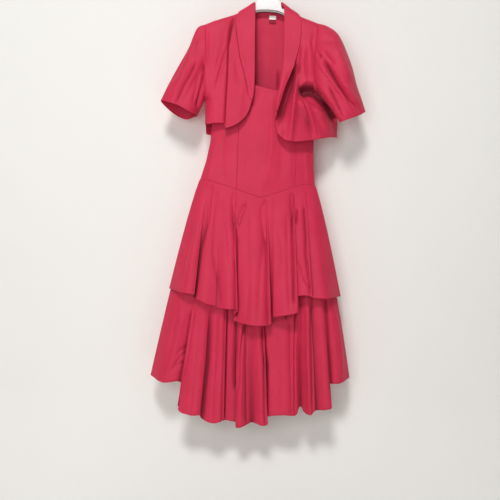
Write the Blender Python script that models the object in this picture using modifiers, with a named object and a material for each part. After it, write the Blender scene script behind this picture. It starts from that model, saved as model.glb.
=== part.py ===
# Red flamenco dress with two flounces and its short jacket, hanging on a plastic hanger.
# Metres, +Z up, the front faces -Y. The origin is the inner top of the hanger's hook.
import math

import bpy
import numpy as np

# Driving dimensions
CLOTH = 0.0018            # wall of the crepe
SEAM_GAP = 0.0003         # between neighbouring pieces
SIDE_GAP = 0.0014         # half of the gap where a flounce's front and back meet
JACKET_SIDE_GAP = 0.0022
SHOULDER_GAP = 0.0008     # half of the gap between front and back along the shoulder
COLLAR_LIFT_LEFT = CLOTH + 0.0021
COLLAR_LIFT_RIGHT = CLOTH + 0.0030
COLLAR_BACK_LIFT = CLOTH + 0.0034
STRAP_WIDTH = 0.012
STRAP_WALL = 0.0012
STRAP_RISE = 0.0020       # outside of the strap above the hanger's arm
STRAP_TURN = 0.0060       # the strap starts to turn this far below the top of the arm
STRAP_HALF_DEPTH = 0.0082
STRAP_SEAT = 0.0006       # between the bodice's top edge and the strap's end
STRAP_BACK = 0.080        # from the middle to a strap's end at the back
ARM_SLOPE = 1.30          # a sloping arm needs this much more height for the same clearance
LABEL_WALL = 0.0006
LABEL_LIFT = 0.0008
DRAPE_RADIUS = 0.022      # how far below the shoulder line the cloth has rounded over
ARMHOLE_ROUND = 0.060     # how far above the underarm the armhole has opened
UNDERARM_REACH = 0.040    # how far below the underarm the side seam has closed
UNDERARM_OPEN = 0.9
TUCK_STEP = 0.009         # how far the jacket's left front folds over its side
TUCK_EDGE = 0.007         # width of the fold's rounded edge
TUCK_FADE = 0.050         # how far from its edge the fold sinks back
TUCK_TOP = -0.130
TUCK_GROWTH = 0.150       # below its top the fold reaches its full step within this height
HOOK_RADIUS = 0.020       # inside the hook
HOOK_WIRE = 0.0017        # radius of the wire
HANGER_HALF_DEPTH = 0.0050

RED = (0.62, 0.040, 0.085)
LABEL_CREAM = (0.86, 0.66, 0.60)
LABEL_RED = (0.24, 0.015, 0.035)
HANGER_WHITE = (0.88, 0.87, 0.88)
RIM_TAUPE = (0.20, 0.145, 0.13)
STEEL = (0.62, 0.62, 0.64)

# Dress bodice and hip: height, left edge, right edge, half depth
TORSO = (
    (-0.335, -0.150, 0.156, 0.029),
    (-0.390, -0.158, 0.163, 0.031),
    (-0.450, -0.160, 0.164, 0.032),
    (-0.515, -0.163, 0.164, 0.033),
    (-0.580, -0.1745, 0.167, 0.036),
    (-0.637, -0.190, 0.174, 0.040),
    (-0.700, -0.205, 0.190, 0.041),
)
# Outlines in (x, z)
NECKLINE = ((-0.078, -0.327), (-0.034, -0.335), (0.006, -0.344), (0.045, -0.350), (0.082, -0.347))
DROP_SEAM = ((-0.190, -0.635), (-0.128, -0.649), (0.005, -0.689), (0.1335, -0.641), (0.174, -0.6365))
PRINCESS_LEFT = ((-0.078, -0.327), (-0.075, -0.520), (-0.073, -0.670))
PRINCESS_RIGHT = ((0.082, -0.347), (0.108, -0.520), (0.1095, -0.650))
BODICE_UNDERARM = -0.392
BODICE_BACK_TOP = -0.345

# Jacket
SHOULDER = (
    (-0.200, -0.150), (-0.154, -0.131), (-0.101, -0.115), (-0.063, -0.0915), (-0.043, -0.0755),
    (0.000, -0.0560), (0.042, -0.0715), (0.080, -0.1017), (0.112, -0.1140), (0.165, -0.128),
)
# Height against half depth of the jacket's front left, front right and back
JACKET_DEPTH = (
    (-0.075, 0.016, 0.016, 0.016), (-0.120, 0.019, 0.019, 0.019), (-0.160, 0.025, 0.025, 0.024),
    (-0.220, 0.033, 0.034, 0.031), (-0.300, 0.041, 0.043, 0.037), (-0.400, 0.047, 0.054, 0.042),
    (-0.515, 0.052, 0.068, 0.046),
)
ARMHOLE_LEFT = ((-0.196, -0.149), (-0.191, -0.200), (-0.188, -0.286), (-0.186, -0.385))
JACKET_UNDERARM = -0.385
SIDE_SWING = 0.022        # how far the jacket's right side seam swings back at the hem
SWING_REACH = 0.050       # within this height below the underarm
SIDE_LEFT = ((-0.186, -0.385), (-0.184, -0.430), (-0.1826, -0.4616))
ARMHOLE_RIGHT = ((0.159, -0.1265), (0.152, -0.240), (0.156, -0.320), (0.174, -0.360), (0.203, -0.385))
ARMHOLE_BACK_RIGHT = ((0.159, -0.1265), (0.178, -0.200), (0.196, -0.300), (0.203, -0.385))
SIDE_RIGHT = ((0.203, -0.385), (0.214, -0.415), (0.230, -0.440), (0.2375, -0.482))
FRONT_EDGE_LEFT = (
    (-0.043, -0.0755), (-0.040, -0.150), (-0.0385, -0.230), (-0.035, -0.310), (-0.038, -0.350),
    (-0.042, -0.382), (-0.052, -0.417), (-0.068, -0.442), (-0.090, -0.464),
)
HEM_LEFT = ((-0.1826, -0.4616), (-0.150, -0.4615), (-0.121, -0.463), (-0.113, -0.476), (-0.090, -0.464))
FRONT_EDGE_RIGHT = (
    (0.042, -0.0715), (0.0515, -0.092), (0.053, -0.120), (0.0555, -0.170), (0.056, -0.260), (0.050, -0.330),
    (0.040, -0.400), (0.037, -0.445), (0.046, -0.489),
)
HEM_RIGHT = ((0.2375, -0.482), (0.203, -0.490), (0.150, -0.504), (0.082, -0.512), (0.046, -0.489))
BACK_NECK = ((-0.043, -0.0755), (-0.022, -0.086), (0.000, -0.089), (0.022, -0.084), (0.042, -0.0715))
BACK_HEM = ((-0.1790, -0.492), (-0.120, -0.498), (0.010, -0.492), (0.130, -0.482), (0.2365, -0.476))
# The collar's free edge, against the same heights as the front edge that it folds over
COLLAR_LEFT = (
    (-0.064, -0.0920), (-0.0985, -0.130), (-0.079, -0.2345), (-0.060, -0.311), (-0.046, -0.380),
)
COLLAR_RIGHT = (
    (0.066, -0.0890), (0.106, -0.140), (0.104, -0.170), (0.088, -0.260), (0.077, -0.311),
    (0.058, -0.361), (0.041, -0.425),
)
COLLAR_BACK_FALL = 0.072
# The jacket's folds: start (x, z), end (x, z), height towards the viewer, half width
FOLDS_LEFT = (
    ((-0.120, -0.200), (-0.159, -0.385), -0.006, 0.013),
    ((-0.140, -0.200), (-0.170, -0.330), 0.005, 0.014),
    ((-0.150, -0.400), (-0.152, -0.465), 0.005, 0.012),
    ((-0.075, -0.330), (-0.078, -0.460), 0.004, 0.015),
)
FOLDS_RIGHT = (
    ((0.098, -0.275), (0.106, -0.340), -0.009, 0.009),
    ((0.096, -0.290), (0.078, -0.500), 0.012, 0.010),
    ((0.090, -0.350), (0.150, -0.495), -0.014, 0.008),
    ((0.112, -0.355), (0.175, -0.480), 0.012, 0.011),
    ((0.115, -0.330), (0.200, -0.432), -0.026, 0.017),
    ((0.124, -0.200), (0.128, -0.300), 0.008, 0.012),
    ((0.065, -0.380), (0.052, -0.480), -0.008, 0.010),
)
# Shares of the jacket's length, close together at the shoulder and at the underarm
JACKET_ROWS = (0.0, 0.006, 0.022, 0.046, 0.075, 0.16, 0.27, 0.38, 0.49, 0.59, 0.66, 0.70, 0.725, 0.75,
               0.78, 0.85, 0.93, 1.0)
COLLAR_ROWS = (0.0, 0.008, 0.022, 0.045, 0.075, 0.11, 0.16, 0.24, 0.34, 0.45, 0.56, 0.67, 0.78, 0.89, 1.0)
# The fold line where the left front's middle lies over its side, in (x, z)
TUCK_LINE = ((-0.1005, -0.114), (-0.1173, -0.217), (-0.1154, -0.318), (-0.1172, -0.480))

# A sleeve's cuff ring: share of the way round from the top by the front, x, y, z
CUFF_LEFT = (
    (0.000, -0.3245, -0.015, -0.398), (0.125, -0.300, -0.043, -0.404), (0.250, -0.266, -0.056, -0.415),
    (0.375, -0.228, -0.050, -0.433), (0.500, -0.207, -0.012, -0.438), (0.625, -0.222, 0.028, -0.436),
    (0.750, -0.250, 0.038, -0.4426), (0.875, -0.290, 0.024, -0.426),
)
CUFF_RIGHT = (
    (0.000, 0.321, -0.015, -0.400), (0.125, 0.303, -0.047, -0.416), (0.250, 0.2786, -0.064, -0.429),
    (0.375, 0.254, -0.072, -0.440), (0.500, 0.238, -0.055, -0.445), (0.625, 0.253, -0.005, -0.432),
    (0.750, 0.275, 0.030, -0.416), (0.875, 0.302, 0.022, -0.403),
)

# The flounces' front hems, a row for each fold from left to right: where it leaves the seam (x),
# then its left turn, crest and right turn as (x, y, z)
UPPER_FOLDS = (
    ((-0.190, -0.168), (-0.272, -SIDE_GAP, -0.986), (-0.226, -0.066, -0.993), (-0.186, -0.079, -0.997)),
    ((-0.158, -0.124), (-0.190, -0.065, -1.004), (-0.157, -0.081, -1.020), (-0.121, -0.075, -1.029)),
    ((-0.115, -0.084), (-0.115, -0.069, -1.034), (-0.080, -0.094, -1.036), (-0.050, -0.088, -1.037)),
    ((-0.068, 0.014), (-0.064, -0.067, -1.069), (-0.005, -0.100, -1.081), (0.050, -0.094, -1.078)),
    ((0.024, 0.036), (0.056, -0.068, -1.069), (0.081, -0.063, -1.065), (0.099, -0.070, -1.059)),
    ((0.042, 0.102), (0.058, -0.086, -1.054), (0.098, -0.106, -1.045), (0.134, -0.097, -1.032)),
    ((0.110, 0.138), (0.108, -0.068, -1.002), (0.143, -0.084, -0.984), (0.176, -0.084, -0.986)),
    ((0.143, 0.174), (0.170, -0.069, -0.990), (0.222, -0.070, -0.991), (0.272, -SIDE_GAP, -0.985)),
)
LOWER_FOLDS = (
    ((-0.190, -0.150), (-0.318, -SIDE_GAP, -1.263), (-0.262, -0.057, -1.272), (-0.200, -0.055, -1.271)),
    ((-0.145, -0.121), (-0.212, -0.063, -1.350), (-0.180, -0.084, -1.364), (-0.150, -0.077, -1.366)),
    ((-0.116, -0.099), (-0.141, -0.071, -1.379), (-0.110, -0.085, -1.386), (-0.077, -0.078, -1.378)),
    ((-0.095, -0.076), (-0.084, -0.063, -1.379), (-0.062, -0.059, -1.381), (-0.037, -0.062, -1.386)),
    ((-0.070, -0.052), (-0.041, -0.077, -1.396), (-0.026, -0.089, -1.394), (-0.004, -0.074, -1.387)),
    ((-0.044, -0.008), (0.010, -0.062, -1.382), (0.040, -0.087, -1.386), (0.058, -0.080, -1.382)),
    ((-0.002, 0.090), (0.052, -0.064, -1.364), (0.100, -0.078, -1.353), (0.141, -0.078, -1.352)),
    ((0.104, 0.114), (0.151, -0.061, -1.336), (0.155, -0.053, -1.328), (0.161, -0.052, -1.331)),
    ((0.120, 0.145), (0.168, -0.064, -1.343), (0.187, -0.085, -1.347), (0.201, -0.076, -1.336)),
    ((0.150, 0.160), (0.206, -0.066, -1.335), (0.236, -0.082, -1.329), (0.252, -0.074, -1.318)),
    ((0.162, 0.174), (0.231, -0.052, -1.270), (0.268, -0.052, -1.249), (0.310, -SIDE_GAP, -1.238)),
)
# The flounces' plain back hems: how far they stand off, how high their middle is lifted, how far
# their waves swing up and down, and how many waves there are
UPPER_BACK = {"depth": 0.070, "lift": 0.045, "swing": 0.004, "waves": 6}
LOWER_BACK = {"depth": 0.054, "lift": 0.060, "swing": 0.004, "waves": 9}
WAVE_DEPTH = 0.16         # share of the depth that a wave takes
WAVE_SWAY = 0.006         # how far a wave leans to the side
LOWER_INSET = 1.6 * CLOTH  # the lower flounce is sewn in under the upper one
LOWER_DROP = 0.3 * LOWER_INSET
FOLD_EASE = 1.35          # how late a flounce's folds open below its seam
FLARE_EASE = 0.85         # how early a flounce widens below its seam

# Hanger: distance from the middle, top and bottom of the moulded body's head
HANGER_HEAD = ((0.000, -0.0560, -0.0905), (0.028, -0.0575, -0.0925), (0.0386, -0.0680, -0.0958),
               (0.0425, -0.0835, -0.0970), (0.047, -0.0865, -0.0985))
HANGER_ARM_BOTTOM = ((0.047, -0.0985), (0.060, -0.1080), (0.080, -0.1230), (0.110, -0.1410),
                     (0.150, -0.1530), (0.190, -0.1660), (0.200, -0.1680))
HANGER_ARM_STATIONS = (0.052, 0.060, 0.070, 0.080, 0.095, 0.110, 0.130, 0.150, 0.170, 0.192)
HANGER_CHAMFER = 0.0030
RIM_HALF_WIDTH = 0.130
RIM_HEIGHT = 0.0065
RIM_HALF_DEPTH = 0.0037
RIM_CHAMFER = 0.0010
HOOK_BEND = (-15.0, 235.0)  # degrees round the hook's middle, from its tip to its neck
HOOK_NECK = ((-0.0085, -0.0435), (-0.0030, -0.0475), (0.0, -0.0515), (0.0, HANGER_HEAD[0][1] + SEAM_GAP))

# Labels sewn inside the back neck: left, right, top, bottom
NECK_LABEL = (0.004, 0.027, -0.1000, -0.1135)
SIZE_LABEL = (0.005, 0.026, -0.1140, -0.1265)

# How a sleeve leaves its armhole: outwards, more at the top, and to the front and back
SLEEVE_OUT = 0.0010
SLEEVE_OUT_TOP = 0.0012
SLEEVE_ASIDE = 0.0006
SLEEVE_UP = 0.0014


CURVE_STEPS = 12          # between two knots of a smooth line


def clear_scene():
    for thing in list(bpy.data.objects):
        bpy.data.objects.remove(thing, do_unlink=True)


def steps(count):
    return np.linspace(0.0, 1.0, count)


# Shares across the back neck, close together at its two ends
NECK_STEPS = 0.5 - 0.5 * np.cos(np.pi * steps(10))


def table(rows, at, column=1):
    """Linear reading of a table at values of its first column."""
    rows = np.array(rows, dtype=float)
    rows = rows[np.argsort(rows[:, 0])]
    return np.interp(at, rows[:, 0], rows[:, column])


def smooth_line(points, count, closed=False):
    """Points spread evenly along a Catmull-Rom curve through the given ones."""
    knots = np.array(points, dtype=float)
    if closed:
        knots = np.vstack([knots[-1], knots, knots[0], knots[1]])
    else:
        knots = np.vstack([2 * knots[0] - knots[1], knots, 2 * knots[-1] - knots[-2]])
    p = np.linspace(0.0, 1.0, CURVE_STEPS, endpoint=False)[:, None]
    pieces = []
    for a, b, c, d in zip(knots[:-3], knots[1:-2], knots[2:-1], knots[3:]):
        pieces.append(0.5 * (2 * b + (c - a) * p + (2 * a - 5 * b + 4 * c - d) * p ** 2
                             + (3 * b - a - 3 * c + d) * p ** 3))
    pieces.append(knots[-2][None])
    fine = np.vstack(pieces)
    length = np.concatenate([[0.0], np.cumsum(np.linalg.norm(np.diff(fine, axis=0), axis=1))])
    at = count if np.ndim(count) else np.linspace(0.0, 1.0, count)
    return np.stack([np.interp(at * length[-1], length, fine[:, k]) for k in range(fine.shape[1])], axis=1)


def material(name, colour, roughness=0.6, metallic=0.0):
    found = bpy.data.materials.get(name)
    if found:
        return found
    made = bpy.data.materials.new(name)
    made.use_nodes = True
    shader = made.node_tree.nodes["Principled BSDF"]
    shader.inputs["Base Color"].default_value = (*colour, 1.0)
    shader.inputs["Roughness"].default_value = roughness
    shader.inputs["Metallic"].default_value = metallic
    return made


def add_object(name, points, faces, paint):
    mesh = bpy.data.meshes.new(name)
    mesh.from_pydata([tuple(p) for p in points], [], faces)
    mesh.materials.append(paint)
    mesh.shade_smooth()
    made = bpy.data.objects.new(name, mesh)
    collection.objects.link(made)
    return made


def add_sheet(name, grid, paint, wall=CLOTH, closed=False):
    """A cloth piece: an open surface of rows down and columns across, thickened inwards."""
    rows, columns = grid.shape[:2]
    faces = []
    for i in range(rows - 1):
        for j in range(columns if closed else columns - 1):
            k = (j + 1) % columns
            faces.append((i * columns + j, (i + 1) * columns + j, (i + 1) * columns + k, i * columns + k))
    made = add_object(name, grid.reshape(-1, 3), faces, paint)
    wall_maker = made.modifiers.new("wall", "SOLIDIFY")
    wall_maker.thickness = wall
    wall_maker.offset = -1.0
    wall_maker.use_quality_normals = True
    return made


def dense_start(count):
    """Shares that start close together, for an edge where the cloth rounds away."""
    return 1.0 - np.cos(0.5 * np.pi * steps(count))


def straight_line(points, shares):
    points = np.array(points, dtype=float)
    length = np.concatenate([[0.0], np.cumsum(np.linalg.norm(np.diff(points, axis=0), axis=1))])
    at = shares * length[-1]
    return np.stack([np.interp(at, length, points[:, k]) for k in range(points.shape[1])], axis=1)


def panel(top, bottom, left, right, across, down):
    """Points in (x, z) between four edge lines, by a Coons patch over shares of width and height."""
    s = across[None, :, None]
    t = down[:, None, None]
    corners = ((1 - s) * (1 - t) * top[0] + s * (1 - t) * top[-1]
               + (1 - s) * t * bottom[0] + s * t * bottom[-1])
    return (1 - t) * top[None] + t * bottom[None] + (1 - s) * left[:, None] + s * right[:, None] - corners


def with_depth(flat, depth):
    """The panel's (x, z) points with the depth that the rule gives them."""
    x, z = flat[..., 0], flat[..., 1]
    return np.stack([x, depth(x, z), z], axis=-1)


def lifted(flat, depth, side, distance):
    """The points that the rule gives, moved out along the surface's normal."""
    x, z = flat[..., 0], flat[..., 1]
    aside, up = 0.0004, 0.00008
    slope_x = (depth(x + aside, z) - depth(x - aside, z)) / (2 * aside)
    slope_z = (depth(x, z + up) - depth(x, z - up)) / (2 * up)
    normal = side * np.stack([-slope_x, np.ones_like(x), -slope_z], axis=-1)
    normal /= np.linalg.norm(normal, axis=-1, keepdims=True)
    return with_depth(flat, depth) + distance * normal


def shifted(points, distance):
    return [(x + distance, z) for x, z in points]


def soft_folds(x, z, rows):
    """Ridges and troughs, each round a straight line, fading towards its ends."""
    total = np.zeros_like(x)
    for (x0, z0), (x1, z1), height, width in rows:
        run = (x1 - x0, z1 - z0)
        along = ((x - x0) * run[0] + (z - z0) * run[1]) / (run[0] ** 2 + run[1] ** 2)
        share = np.clip(along, 0.0, 1.0)
        distance = np.hypot(x - x0 - share * run[0], z - z0 - share * run[1])
        fade = 0.4 + 0.6 * np.sin(np.pi * (0.15 + 0.75 * share))
        total += height * fade * np.exp(-(distance / width) ** 2)
    return total


def round_over(distance, reach):
    """Rises from 0 to 1 over the reach, as a quarter of an ellipse."""
    share = np.clip(distance / reach, 0.0, 1.0)
    return np.sqrt(1.0 - (1.0 - share) ** 2)


def smooth_step(value):
    share = np.clip(value, 0.0, 1.0)
    return share * share * (3.0 - 2.0 * share)


def torso_y(x, z, side, gap=SIDE_GAP):
    """Half of a lens-shaped section: 0 at the side seams, the table's depth in the middle."""
    left = table(TORSO, z, 1)
    right = table(TORSO, z, 2)
    q = np.clip((2 * x - left - right) / (right - left), -1.0, 1.0)
    return side * (table(TORSO, z, 3) * np.sqrt(1.0 - q ** 2) + gap)


def jacket_y(x, z, side, edge, column):
    """Rounds over the shoulder, opens at the armhole and closes at the side seam below it."""
    by_height = [(row[1], row[0]) for row in edge]
    q = np.clip(x / table(by_height, z), 0.0, 1.0)
    opened = UNDERARM_OPEN * round_over(z - JACKET_UNDERARM, ARMHOLE_ROUND)
    lens = opened + (1.0 - opened) * np.sqrt(1.0 - q ** 2)
    drop = round_over(table(SHOULDER, x) - z, DRAPE_RADIUS)
    closed = smooth_step((JACKET_UNDERARM + UNDERARM_REACH - z) / UNDERARM_REACH)
    gap = SHOULDER_GAP + (JACKET_SIDE_GAP - SHOULDER_GAP) * closed
    return side * (table(JACKET_DEPTH, z, column) * lens * drop + gap)


def right_swing(x, z):
    """The right side seam hangs behind the sleeve."""
    edge = table([(row[1], row[0]) for row in SIDE_RIGHT], z)
    return SIDE_SWING * smooth_step((JACKET_UNDERARM - z) / SWING_REACH) * np.clip(x / edge, 0.0, 1.0) ** 3


def front_left_y(x, z):
    tuck = x - table([(row[1], row[0]) for row in TUCK_LINE], z)
    overlap = smooth_step(tuck / TUCK_EDGE) * np.exp(-np.clip(tuck, 0.0, None) / TUCK_FADE)
    grown = smooth_step((TUCK_TOP - z) / TUCK_GROWTH)
    base = jacket_y(x, z, -1, ARMHOLE_LEFT + SIDE_LEFT, 1)
    return base - TUCK_STEP * overlap * grown - soft_folds(x, z, FOLDS_LEFT)


def front_right_y(x, z):
    base = jacket_y(x, z, -1, ARMHOLE_RIGHT + SIDE_RIGHT, 2)
    return base + right_swing(x, z) - soft_folds(x, z, FOLDS_RIGHT)


def back_y(x, z):
    left = jacket_y(x, z, 1, ARMHOLE_LEFT + SIDE_LEFT, 3)
    right = jacket_y(x, z, 1, ARMHOLE_BACK_RIGHT + SIDE_RIGHT, 3)
    return np.where(x < 0.0, left, right) + np.where(x < 0.0, 0.0, right_swing(x, z))


def seam_z(x, side):
    if side < 0:
        return table(DROP_SEAM, x)
    return np.interp(x, (DROP_SEAM[0][0], DROP_SEAM[-1][0]), (DROP_SEAM[0][1], DROP_SEAM[-1][1]))


def snapped(points, corners):
    """Sampled points, with the nearest one to each corner moved onto it."""
    points = points.copy()
    for corner in corners:
        points[np.argmin(np.abs(points[:, 0] - corner[0]))] = corner
    return points


def make_bodice():
    down = steps(9)
    seam = np.array(DROP_SEAM) + (0.0, SEAM_GAP)
    left_end, v_point, right_end = seam[1], seam[2], seam[3]
    left_foot = np.array((PRINCESS_LEFT[-1][0], table(seam, PRINCESS_LEFT[-1][0])))
    right_foot = np.array((PRINCESS_RIGHT[-1][0], table(seam, PRINCESS_RIGHT[-1][0])))
    princess_left = PRINCESS_LEFT[:-1] + (tuple(left_foot),)
    princess_right = PRINCESS_RIGHT[:-1] + (tuple(right_foot),)
    half = 0.5 * SEAM_GAP

    v_share = (v_point[0] - left_foot[0]) / (right_foot[0] - left_foot[0])
    v_steps = np.concatenate([v_share * steps(5), v_share + (1.0 - v_share) * steps(5)[1:]])
    centre = panel(smooth_line(NECKLINE, steps(9)), straight_line((left_foot, v_point, right_foot), v_steps),
                   smooth_line(shifted(princess_left, half), down),
                   smooth_line(shifted(princess_right, -half), down), steps(9), down)
    add_sheet("dress_front_centre", with_depth(centre, lambda x, z: torso_y(x, z, -1)), red)

    side_left = [(table(TORSO, z, 1), z) for z in np.linspace(BODICE_UNDERARM, seam[0][1], 8)]
    side_right = [(table(TORSO, z, 2), z) for z in np.linspace(BODICE_UNDERARM, seam[-1][1], 8)]
    across = dense_start(7)
    left = panel(straight_line((side_left[0], NECKLINE[0]), across),
                 snapped(straight_line((side_left[-1], left_end, left_foot), across), [left_end]),
                 straight_line(side_left, down), smooth_line(shifted(princess_left, -half), down),
                 across, down)
    add_sheet("dress_front_side_left", with_depth(left, lambda x, z: torso_y(x, z, -1)), red)
    across = 1 - across[::-1]
    right = panel(straight_line((NECKLINE[-1], side_right[0]), across),
                  snapped(straight_line((right_foot, right_end, side_right[-1]), across), [right_end]),
                  smooth_line(shifted(princess_right, half), down), straight_line(side_right, down),
                  across, down)
    add_sheet("dress_front_side_right", with_depth(right, lambda x, z: torso_y(x, z, -1)), red)

    round_both = 0.5 - 0.5 * np.cos(np.pi * steps(15))
    corners = ((-STRAP_BACK, BODICE_BACK_TOP), (STRAP_BACK, BODICE_BACK_TOP))
    top = snapped(straight_line((side_left[0], *corners, side_right[0]), round_both), corners)
    back = panel(top, straight_line((side_left[-1], side_right[-1]), round_both),
                 straight_line(side_left, down), straight_line(side_right, down), round_both, down)
    add_sheet("dress_back", with_depth(back, lambda x, z: torso_y(x, z, 1))[:, ::-1], red)


def arm_top(x):
    """The hanger's arm runs under the cloth and the strap that lie over it."""
    side = np.minimum(table(SHOULDER, np.abs(x)), table(SHOULDER, -np.abs(x)))
    return side - ARM_SLOPE * (CLOTH + STRAP_WALL + 3 * SEAM_GAP)


def make_straps():
    """Ribbons from the bodice front, over the hanger's arm, to the bodice back."""
    turn = np.pi * steps(9)
    turn_y = -np.sign(np.cos(turn)) * STRAP_HALF_DEPTH * np.abs(np.cos(turn)) ** 0.7
    turn_z = (STRAP_TURN + STRAP_RISE) * np.sin(turn) ** 0.7
    leg = steps(6)[:-1]
    for name, (x_front, top_front) in (("strap_left", NECKLINE[0]), ("strap_right", NECKLINE[-1])):
        x_back = math.copysign(STRAP_BACK, x_front)
        z_front = top_front + STRAP_SEAT
        z_back = BODICE_BACK_TOP + STRAP_SEAT
        y_front = torso_y(x_front, top_front, -1) + SEAM_GAP
        y_back = torso_y(x_back, BODICE_BACK_TOP, 1) - SEAM_GAP
        y = np.concatenate([y_front + (turn_y[0] - y_front) * leg, turn_y,
                            (y_back + (turn_y[-1] - y_back) * leg)[::-1]])
        x_middle = np.interp(np.arange(len(y)), (0, len(y) - 1), (x_front, x_back))
        columns = []
        for offset in (-0.5 * STRAP_WIDTH, 0.0, 0.5 * STRAP_WIDTH):
            crown = arm_top(0.5 * (x_front + x_back) + offset) - STRAP_TURN
            z = np.concatenate([z_front + (crown - z_front) * leg, crown + turn_z,
                                (z_back + (crown - z_back) * leg)[::-1]])
            columns.append(np.stack([x_middle + offset, y, z], axis=1))
        grid = np.stack(columns, axis=1)
        add_sheet(name, grid[::-1], red, wall=STRAP_WALL)


def fold_curve(rows, columns):
    """A flounce's hem from its fold rows: seam x, then x, y and z at the hem."""
    points = []
    for (seam_left, seam_right), *turns in rows:
        for share, turn in zip((0.0, 0.5, 1.0), turns):
            points.append((seam_left + (seam_right - seam_left) * share, *turn))
    return smooth_line(points, steps(columns))


def back_curve(rows, columns, hem):
    """A plain back hem between the front hem's two ends, in even waves."""
    u = steps(columns)
    turn = 2 * np.pi * hem["waves"] * u
    middle = np.sin(np.pi * u)
    seam = np.interp(u, (0, 1), (rows[0][0][0], rows[-1][0][1]))
    x = np.interp(u, (0, 1), (rows[0][1][0], rows[-1][3][0])) + WAVE_SWAY * np.sin(turn) * middle
    y = SIDE_GAP + hem["depth"] * middle ** 0.6 * (1.0 - WAVE_DEPTH * np.cos(turn) * middle ** 0.5)
    ends = np.interp(u, (0, 1), (rows[0][1][2], rows[-1][3][2]))
    z = ends + (hem["swing"] * np.cos(turn) - hem["lift"]) * middle
    return np.stack([seam, x, y, z], axis=1)


def add_flounce(name, curve, side, rows, inset=0.0, drop=0.0):
    """A ruled cloth from the drop-waist seam to the hem; its folds open gradually."""
    left, right = DROP_SEAM[0][0], DROP_SEAM[-1][0]
    top_x = curve[:, 0].copy()
    for corner, _ in DROP_SEAM:
        top_x[np.argmin(np.abs(top_x - corner))] = corner
    top_z = seam_z(top_x, side) - SEAM_GAP
    top_y = torso_y(top_x, top_z, side)
    middle = 0.5 * (left + right)
    top_x = middle + (top_x - middle) * (1.0 - 2 * inset / (right - left))
    top_y = np.where(np.abs(top_y) > inset + SIDE_GAP, top_y - side * inset, side * SIDE_GAP)
    v = steps(rows)[:, None]
    x = top_x + (curve[:, 1] - top_x) * v ** FLARE_EASE
    y = top_y + (curve[:, 2] - top_y) * v ** FOLD_EASE
    z = top_z - drop + (curve[:, 3] - top_z) * v
    grid = np.stack([x, y, z], axis=-1)
    add_sheet(name, grid if side < 0 else grid[:, ::-1], red)


def make_flounces():
    add_flounce("upper_flounce_front", fold_curve(UPPER_FOLDS, 62), -1, 7)
    add_flounce("upper_flounce_back", back_curve(UPPER_FOLDS, 31, UPPER_BACK), 1, 5)
    add_flounce("lower_flounce_front", fold_curve(LOWER_FOLDS, 84), -1, 8, LOWER_INSET, LOWER_DROP)
    add_flounce("lower_flounce_back", back_curve(LOWER_FOLDS, 40, LOWER_BACK), 1, 6, LOWER_INSET, LOWER_DROP)


def make_jacket_body():
    down = np.array(JACKET_ROWS)
    neck_left, neck_right = BACK_NECK[0], BACK_NECK[-1]
    arm_left, arm_right = ARMHOLE_LEFT[0], ARMHOLE_RIGHT[0]
    shoulder_left = [arm_left] + [row for row in SHOULDER if arm_left[0] < row[0] <= neck_left[0]]
    shoulder_right = [row for row in SHOULDER if neck_right[0] <= row[0] < arm_right[0]] + [arm_right]

    across = 0.6 * dense_start(14) + 0.4 * steps(14)
    left = panel(straight_line(shoulder_left, across), smooth_line(HEM_LEFT, across),
                 smooth_line(ARMHOLE_LEFT + SIDE_LEFT[1:], down), smooth_line(FRONT_EDGE_LEFT, down),
                 across, down)
    add_sheet("jacket_front_left", with_depth(left, front_left_y), red)

    across = 0.6 * (1 - dense_start(17)[::-1]) + 0.4 * steps(17)
    right = panel(straight_line(shoulder_right, across), smooth_line(HEM_RIGHT[::-1], across),
                  smooth_line(FRONT_EDGE_RIGHT, down), smooth_line(ARMHOLE_RIGHT + SIDE_RIGHT[1:], down),
                  across, down)
    add_sheet("jacket_front_right", with_depth(right, front_right_y), red)

    arm = 0.6 * dense_start(10) + 0.4 * steps(10)
    top_x = np.concatenate([arm_left[0] + (neck_left[0] - arm_left[0]) * arm,
                            neck_left[0] + (neck_right[0] - neck_left[0]) * NECK_STEPS[1:],
                            arm_right[0] + (neck_right[0] - arm_right[0]) * arm[-2::-1]])
    outline = shoulder_left[:-1] + list(BACK_NECK) + shoulder_right[1:]
    top = np.stack([top_x, table(outline, top_x)], axis=1)
    across = (top_x - arm_left[0]) / (arm_right[0] - arm_left[0])
    back = panel(top, smooth_line(BACK_HEM, across),
                 smooth_line(ARMHOLE_LEFT + SIDE_LEFT[1:-1] + (BACK_HEM[0],), down),
                 smooth_line(ARMHOLE_BACK_RIGHT + SIDE_RIGHT[1:-1] + (BACK_HEM[-1],), down), across, down)
    add_sheet("jacket_back", with_depth(back, back_y)[:, ::-1], red)


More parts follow.
